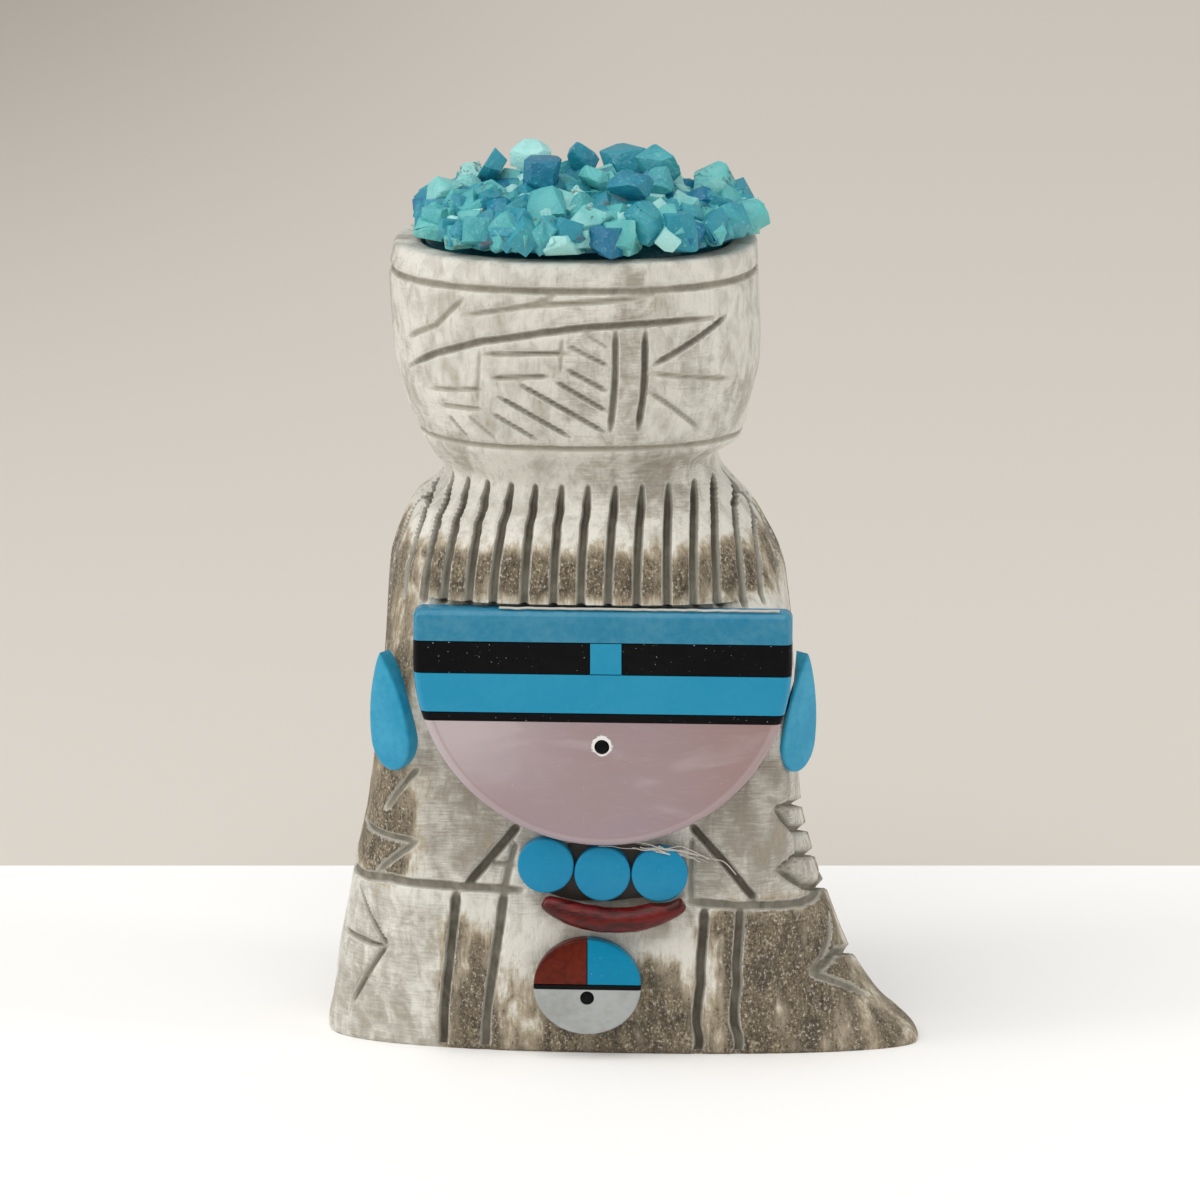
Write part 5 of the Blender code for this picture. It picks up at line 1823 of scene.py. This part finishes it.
@dataclass
class ChipHeap:
    """The turquoise chips: the loose ones and the bed, in the places that the solids have."""

    carving: AntlerCarving
    height: float = 5.6
    offset: float = 2.2
    lean: float = -3.0
    inset: float = 3.8
    sides: int = 16
    levels: tuple = (25.0, 50.0, 72.0)
    loose_spots: int = 130
    loose_chips: int = 39
    stride: int = 7
    packed_spots: int = 150
    sink: float = 0.6
    lift: float = 0.1
    most_lifts: int = 60
    shrinks: tuple = (1.0, 0.8, 0.64)
    seed: int = 11
    fillers: int = 300
    rim_crumbs: int = 420
    rim_band: tuple = (1.0, 6.0)
    rim_rise: tuple = (0.7, 2.4)
    edge_round: tuple = (0.05, 0.15)
    hue_spread: tuple = (1.3, 1.2)
    bare_left: float = 2.4
    bed_drop: float = 0.1
    bite: float = 0.9
    breaks: tuple = (2, 3, 4)
    shallow_break: float = 0.92
    light_break: float = 0.7
    deep_break: float = 0.6
    crumb_shrinks: tuple = (1.0, 0.85, 0.8)
    bed_sides: int = 48
    bed_wall: float = 3.2
    bed_turns: tuple = (4.0, 15.0, 28.0, 42.0, 57.0, 72.0)
    bed_rise: float = 0.93
    bed_reach: float = 0.97
    bed_shade_hue: float = 1.5

    def mouth_ring(self, angles: Sequence[float], inset: float, height: float, share: float = 1.0,
                   shift: float = 0.0) -> list[Vector]:
        """A ring of the pot's mouth.

        Args:
            angles: The ring's angles.
            inset: How far inside the pot's outside.
            height: Its height.
            share: Its size as a share.
            shift: How far it is moved across.

        Returns:
            Its points.
        """
        count = len(angles)
        spots = self.carving.surface(np.array(angles), np.full(count, RIM), np.zeros(count, bool), inset)
        middle = (self.carving.values[-1][0] + self.carving.values[-1][2]) / 2
        return [Vector((middle + (x - middle) * share + shift, y * share, height)) for x, y, _ in spots]

    def dome_rings(self) -> list[list[Vector]]:
        """The dome of the bed over the rim."""
        angles = [2 * math.pi * i / self.sides for i in range(self.sides)]
        foot = RIM + SEAT_GAP
        rings = [self.mouth_ring(angles, self.inset, foot, 1.0, self.offset)]
        for degrees in self.levels:
            turn = math.radians(degrees)
            rise = math.sin(turn)
            shift = self.offset + self.lean * rise
            height = foot + self.height * rise
            rings.append(self.mouth_ring(angles, self.inset, height, math.cos(turn), shift))
        return rings

    def skin(self, rings: Sequence[Sequence[Vector]]) -> bmesh.types.BMesh:
        """A closed body through rings.

        Args:
            rings: Rings of equally many points, from below.

        Returns:
            The body.
        """
        shape = bmesh.new()
        rows = [[shape.verts.new(point) for point in ring] for ring in rings]
        shape.faces.new(rows[0])
        shape.faces.new(rows[-1])
        for low, high in zip(rows, rows[1:]):
            for i in range(len(low)):
                j = (i + 1) % len(low)
                shape.faces.new((low[i], low[j], high[j], high[i]))
        bmesh.ops.recalc_face_normals(shape, faces=shape.faces)
        return shape

    def scatter(self, rng: random.Random, count: int, kind: type[Chip] = Chip) -> Iterator[Chip]:
        """Chips spread evenly over the dome by the golden angle, from its top down.

        Args:
            rng: The source of chance.
            count: How many.
            kind: The kind of chip.

        Yields:
            The chips.
        """
        mouth = self.carving.values[-1]
        middle = (mouth[0] + mouth[2]) / 2
        wide, deep = (mouth[2] - mouth[0]) / 2 - self.inset, mouth[5] - self.inset
        for i in range(count):
            rise = 1 - (i + 0.5) / count
            angle = GOLDEN_ANGLE * i
            spot = self.carving.spot(angle, RIM, False, self.inset)
            level = math.sqrt(1 - rise * rise)
            x, y = (float(spot[0]) - middle) * level, float(spot[1]) * level
            shift = self.offset + self.lean * rise
            place = Vector((middle + shift + x, y, RIM + self.height * rise))
            steep = max(0.0, rise - self.lean * x / wide ** 2) / self.height
            outward = Vector((x / wide ** 2, y / deep ** 2, steep))
            yield kind(rng, place, outward.normalized())

    def apron(self, rng: random.Random) -> Iterator[Chip]:
        """Crumbs that lie round the dome's foot, up to the rim.

        Args:
            rng: The source of chance.

        Yields:
            The crumbs.
        """
        for i in range(self.rim_crumbs):
            angle = GOLDEN_ANGLE * i
            inset = rng.uniform(*self.rim_band) + max(0.0, -math.cos(angle)) ** 3 * self.bare_left
            x, y, _ = self.carving.spot(angle, RIM, False, inset)
            rise = rng.uniform(*self.rim_rise) + max(0.0, inset - 3.0) * 0.7
            yield Crumb(rng, Vector((x, y, RIM + rise)), Vector((0.0, 0.0, 1.0)))

    def settle(self, chip: Chip, others: Sequence[Facts]) -> Facts:
        """Lifts a chip clear of the rim and of other bodies.

        Args:
            chip: The chip.
            others: The other bodies.

        Returns:
            The chip's corners and faces.
        """
        facts = faces_of(chip.shape())
        chip.spot.z += max(0.0, RIM + 2 * SEAT_GAP - min(corner.z for corner in facts[0]))
        for _ in range(self.most_lifts):
            facts = faces_of(chip.shape())
            if all(apart(facts, other) for other in others):
                break
            chip.spot += chip.outward * self.lift
        return facts

    def rooted(self, chip: Facts, dome: Facts) -> bool:
        """Whether a corner of a chip lies well inside the dome.

        Args:
            chip: The chip.
            dome: The dome.

        Returns:
            True if one does.
        """
        corners, normals = dome
        reaches = [max(normal.dot(corner) for corner in corners) - SEAT_GAP for normal in normals]
        return any(
            all(normal.dot(corner) < reach for normal, reach in zip(normals, reaches)) for corner in chip[0]
        )

    def strike(self, shape: bmesh.types.BMesh, rng: random.Random, deep: float) -> bmesh.types.BMesh:
        """Strikes more corners off a chip, so that it looks broken and not sawn.

        Args:
            shape: The chip.
            rng: The source of chance.
            deep: How far in the deepest break may lie, as a share of the reach.

        Returns:
            The same chip.
        """
        for _ in range(rng.choice(self.breaks)):
            centre = sum((vertex.co for vertex in shape.verts), Vector()) / len(shape.verts)
            normal = Vector([rng.gauss(0.0, 1.0) for _ in range(3)]).normalized()
            reach = max(normal.dot(vertex.co - centre) for vertex in shape.verts)
            trim(shape, centre + normal * rng.uniform(deep, self.shallow_break) * reach, normal)
        return shape

    def dress(self, shape: bmesh.types.BMesh, rng: random.Random) -> bmesh.types.BMesh:
        """Rounds a chip's edges a little and gives it a hue.

        Args:
            shape: The chip.
            rng: The source of chance.

        Returns:
            The same chip.
        """
        bmesh.ops.bevel(shape, geom=list(shape.edges), offset=rng.uniform(*self.edge_round), segments=2,
                        affect="EDGES", profile=0.5, material=-1)
        bmesh.ops.recalc_face_normals(shape, faces=shape.faces)
        self.mark(shape, rng.betavariate(*self.hue_spread), rng.random() ** 3)
        return shape

    def mark(self, shape: bmesh.types.BMesh, hue: float, matrix: float) -> None:
        """Writes a hue and a share of matrix on a shape.

        Args:
            shape: The shape.
            hue: The hue.
            matrix: The share of matrix.
        """
        for name, value in (("hue", hue), ("matrix", matrix)):
            layer = shape.verts.layers.float.new(name)
            for vertex in shape.verts:
                vertex[layer] = value

    def build(self, dresser: Dresser) -> None:
        """Makes the heap.

        Args:
            dresser: Makes the pieces.
        """
        dome_facts = faces_of(self.skin(self.dome_rings()))
        rng = random.Random(self.seed)
        look = random.Random(self.seed + 1)
        chips = list(self.scatter(rng, self.loose_spots))
        loose, measured = [], []
        for i in range(self.loose_spots):
            chip = chips[i * self.stride % self.loose_spots]
            facts = self.settle(chip, [dome_facts])
            if len(loose) < self.loose_chips and all(apart(facts, other) for other in measured):
                loose.append(chip)
                measured.append(facts)
        shown = []
        for i, chip in enumerate(loose):
            name = f"turquoise_chip_{i + 1:02d}"
            shape = self.strike(self.strike(chip.shape(), look, self.light_break), look, self.deep_break)
            shown.append(faces_of(shape.copy()))
            dresser.piece(name, self.dress(shape, look), Paint.CHIPS, [name], "chip_turquoise")
        bed = self.bed()
        for chip in self.scatter(rng, self.packed_spots):
            chip.spot -= chip.outward * self.sink
            for share in self.shrinks:
                chip.shrink(share)
                facts = self.settle(chip, [])
                if self.rooted(facts, dome_facts) and all(apart(facts, other) for other in measured):
                    join(bed, self.dress(self.strike(chip.shape(), look, self.light_break), look))
                    break
        placed = 0
        for chip in [*self.scatter(look, self.fillers, Crumb), *self.apron(look)]:
            for share in self.crumb_shrinks:
                chip.shrink(share)
                facts = self.settle(chip, [])
                if inside_box(facts[0]) and all(apart(facts, other, -self.bite) for other in shown):
                    join(bed, self.dress(self.strike(chip.shape(), look, self.light_break), look))
                    placed += 1
                    break
        LOG.info("heap: %d loose chips, %d crumbs", len(loose), placed)
        dresser.piece("turquoise_chip_bed", bed, Paint.CHIPS, ["turquoise_chip_bed"], "chip_turquoise")

    def bed(self) -> bmesh.types.BMesh:
        """The filling below the chips, painted the dark colour of the shade in the gaps between them."""
        angles = [2 * math.pi * i / self.bed_sides for i in range(self.bed_sides)]
        wall = self.carving.wall + SEAT_GAP
        floor = RIM - self.carving.hollow + SEAT_GAP
        rings = [
            self.mouth_ring(angles, wall, floor, self.carving.floor_share),
            self.mouth_ring(angles, wall, floor + self.bed_wall),
            self.mouth_ring(angles, wall, RIM - self.bed_drop),
        ]
        for degrees in self.bed_turns:
            turn = math.radians(degrees)
            height = RIM + self.height * math.sin(turn) * self.bed_rise
            share, shift = math.cos(turn) * self.bed_reach, self.offset + self.lean * math.sin(turn)
            rings.append(self.mouth_ring(angles, self.inset, height, share, shift))
        shape = self.skin(rings)
        self.mark(shape, self.bed_shade_hue, 0.0)
        return shape


class Crumb(Chip):
    """A small chip that fills a gap."""

    small = 2.3
    large = 4.2
    tilt = 60.0


@dataclass
class GlueTraces:
    """The hardened adhesive that shows: a dark film that is also painted shade between the discs, a pale bead
    that is also a painted highlight along the slab's top, and pale threads.
    """

    film_centre: tuple[float, float] = (-1.7, 20.6)
    film_half: tuple[float, float] = (7.9, 3.3)
    film_back: float = 0.02
    film_thickness: float = 0.25
    film_sides: int = 90
    bead_from: float = -12.5
    bead_length: float = 29.6
    bead_height: float = 49.66
    bead_proud: float = 2.62
    bead_radius: float = 0.13
    bead_points: int = 120
    threads: int = 9
    thread_points: int = 30
    thread_end: float = 12.6
    thread_radius: tuple[float, float] = (0.03, 0.08)
    seed: int = 5

    def strand(self, points: Sequence[tuple[float, float, float]], radius: float) -> bmesh.types.BMesh:
        """A thin tube through points of the front, as (x, height, proud).

        Args:
            points: Its points.
            radius: Its radius.

        Returns:
            The tube.
        """
        places = [FRONT @ Vector((x, -proud, height)) for x, height, proud in points]
        return tube(places, [radius] * len(points), 2)

    def build(self, dresser: Dresser) -> None:
        """Makes the traces.

        Args:
            dresser: Makes the pieces.
        """
        rng = random.Random(self.seed)
        outline = []
        for x, z in oval(*self.film_half, self.film_sides):
            swell = 1.0 + 0.10 * noise.noise(Vector((x * 0.5, z * 0.5, 2.0)))
            outline.append((x * swell, z * swell))
        # The dark film shows between the discs: adhesive, and painted shade in those gaps.
        film = plate_shape(outline, self.film_thickness, 0.05, 2, self.film_back)
        on_front(film, *self.film_centre)
        dresser.piece("adhesive_film_and_shade", film, Paint.DARK_GLUE_AND_SHADE, [], None)
        # Painted highlight: the pale bead along the slab's top gives the lit lower edge of the fringe.
        bead = []
        for i in range(self.bead_points):
            x = self.bead_from + self.bead_length * i / (self.bead_points - 1)
            wave = noise.noise(Vector((x * 0.7, 0.0, 1.0)))
            swell = noise.noise(Vector((x * 0.9, 4.0, 1.0)))
            bead.append((x, self.bead_height + 0.06 * wave, self.bead_proud + 0.10 * swell))
        dresser.piece("adhesive_bead_and_highlight", self.strand(bead, self.bead_radius), Paint.PALE_GLUE_AND_HIGHLIGHT, [], None)
        threads = bmesh.new()
        for _ in range(self.threads):
            start, length = rng.uniform(-3.0, 5.0), rng.uniform(4.0, 9.0)
            phase, lift = rng.uniform(0.0, 50.0), rng.uniform(-0.5, 0.5)
            points = []
            for j in range(self.thread_points):
                x = min(start + length * j / (self.thread_points - 1), self.thread_end)
                wave = noise.noise(Vector((x * 0.45, phase, 0.0))) * 0.7
                height = 23.75 - 0.012 * (x + 1.0) ** 2 - max(0.0, x - 7.0) * 0.22 + lift * 0.6 + wave
                proud = 1.9 - 1.7 * min(1.0, max(0.0, (x - 5.2) / 4.0)) if x > 5.2 else 1.9
                points.append((x, height, max(0.1, proud + 0.15 * noise.noise(Vector((x, phase, 7.0))))))
            join(threads, self.strand(points, rng.uniform(*self.thread_radius)))
        dresser.piece("adhesive_threads", threads, Paint.PALE_GLUE_AND_HIGHLIGHT, [], None)


@dataclass
class Studio:
    """A white board, a pale ground behind it, soft lights and the camera."""

    board_half: float = 900.0
    board_depth: float = 58.3
    board_front: float = -110.0
    slope: float = math.radians(3.0)
    ground_drop: float = 0.6
    lit: tuple[float, float, float] = (0.0, 0.0, 45.0)
    sun_way: tuple[float, float, float] = (0.28, 0.45, -1.0)
    lens: float = 219.96
    azimuth: float = 3.0
    elevation: float = 14.0
    distance: float = 780.0
    target: tuple[float, float, float] = (-2.2, -10.0, 49.0)

    def ground(self, name: str, corners: Sequence[tuple[float, float]], height: float,
               finish: StudioFinish) -> None:
        """A flat sheet of the studio.

        Args:
            name: Its name.
            corners: Its (x, y) corners.
            height: Its height.
            finish: Its finish.
        """
        shape = bmesh.new()
        shape.faces.new([shape.verts.new((x * MM, y * MM, height * MM)) for x, y in corners])
        mesh = mesh_of(name, shape)
        mesh.materials.append(finish.build())
        linked(name, mesh)

    def light(self, name: str, place: tuple[float, float, float], size: tuple[float, float],
              power: float) -> None:
        """A white area light that looks at the carving.

        Args:
            name: Its name.
            place: Where it is, in millimetres.
            size: Its width and height.
            power: Its power in watts.
        """
        data = bpy.data.lights.new(name, "AREA")
        data.shape = "RECTANGLE"
        data.size, data.size_y = size[0] * MM, size[1] * MM
        data.energy = power
        made = linked(name, data)
        made.location = Vector(place) * MM
        made.rotation_euler = (Vector(self.lit) - Vector(place)).to_track_quat("-Z", "Y").to_euler()

    def sun(self) -> None:
        """One very soft light from above, the left and the front."""
        data = bpy.data.lights.new("soft_sun", "SUN")
        data.energy = 1.7
        data.angle = math.radians(70.0)
        data.color = (1.0, 0.99, 0.975)
        made = linked("soft_sun", data)
        made.rotation_euler = Vector(self.sun_way).to_track_quat("-Z", "Y").to_euler()

    def camera(self) -> None:
        """The camera of the photograph."""
        data = bpy.data.cameras.new("camera")
        data.lens = self.lens
        data.sensor_width = 36.0
        data.clip_start, data.clip_end = 0.05, 20.0
        made = linked("camera", data)
        turn, rise = math.radians(self.azimuth), math.radians(self.elevation)
        toward = Vector((-math.sin(turn) * math.cos(rise), math.cos(turn) * math.cos(rise), -math.sin(rise)))
        made.location = (Vector(self.target) - toward * self.distance) * MM
        made.rotation_euler = toward.to_track_quat("-Z", "Y").to_euler()
        bpy.context.scene.camera = made

    def build(self) -> None:
        """Makes the studio."""
        half, run = self.board_half, math.tan(self.slope)
        board = [(-half, self.board_front), (half, self.board_front),
                 (half, self.board_depth + half * run), (-half, self.board_depth - half * run)]
        white = linear(252, 251, 250)
        self.ground("board", board, 0.0, StudioFinish("white_board", white, white))
        behind = [(-2500.0, -1200.0), (2500.0, -1200.0), (2500.0, 3000.0), (-2500.0, 3000.0)]
        self.ground("ground", behind, -self.ground_drop,
                    StudioFinish("pale_ground", linear(214, 208, 199), linear(170, 164, 155)))
        world = bpy.data.worlds.new("soft_light")
        world.use_nodes = True
        background = world.node_tree.nodes["Background"].inputs
        background["Color"].default_value = (1.0, 0.99, 0.97, 1.0)
        background["Strength"].default_value = 0.465
        bpy.context.scene.world = world
        self.sun()
        self.light("left_strip", (-420.0, -160.0, 150.0), (120.0, 420.0), 0.7)
        self.light("right_strip", (460.0, -120.0, 160.0), (90.0, 420.0), 0.6)
        self.camera()
        bpy.context.scene.view_settings.view_transform = "Standard"


def main() -> None:
    """Builds the carving, its stones and its studio."""
    logging.basicConfig(level=logging.INFO, format="%(message)s")
    dresser = Dresser()
    carving = AntlerCarving()
    carving.lines = LineBook(carving).all_lines()
    face = InlaidFace()
    carving.build(dresser)
    face.build(dresser)
    Necklace(face).build(dresser)
    Pendant().build(dresser)
    Ears(carving, face).build(dresser)
    ChipHeap(carving).build(dresser)
    GlueTraces().build(dresser)
    Studio().build()


if __name__ == "__main__":
    main()
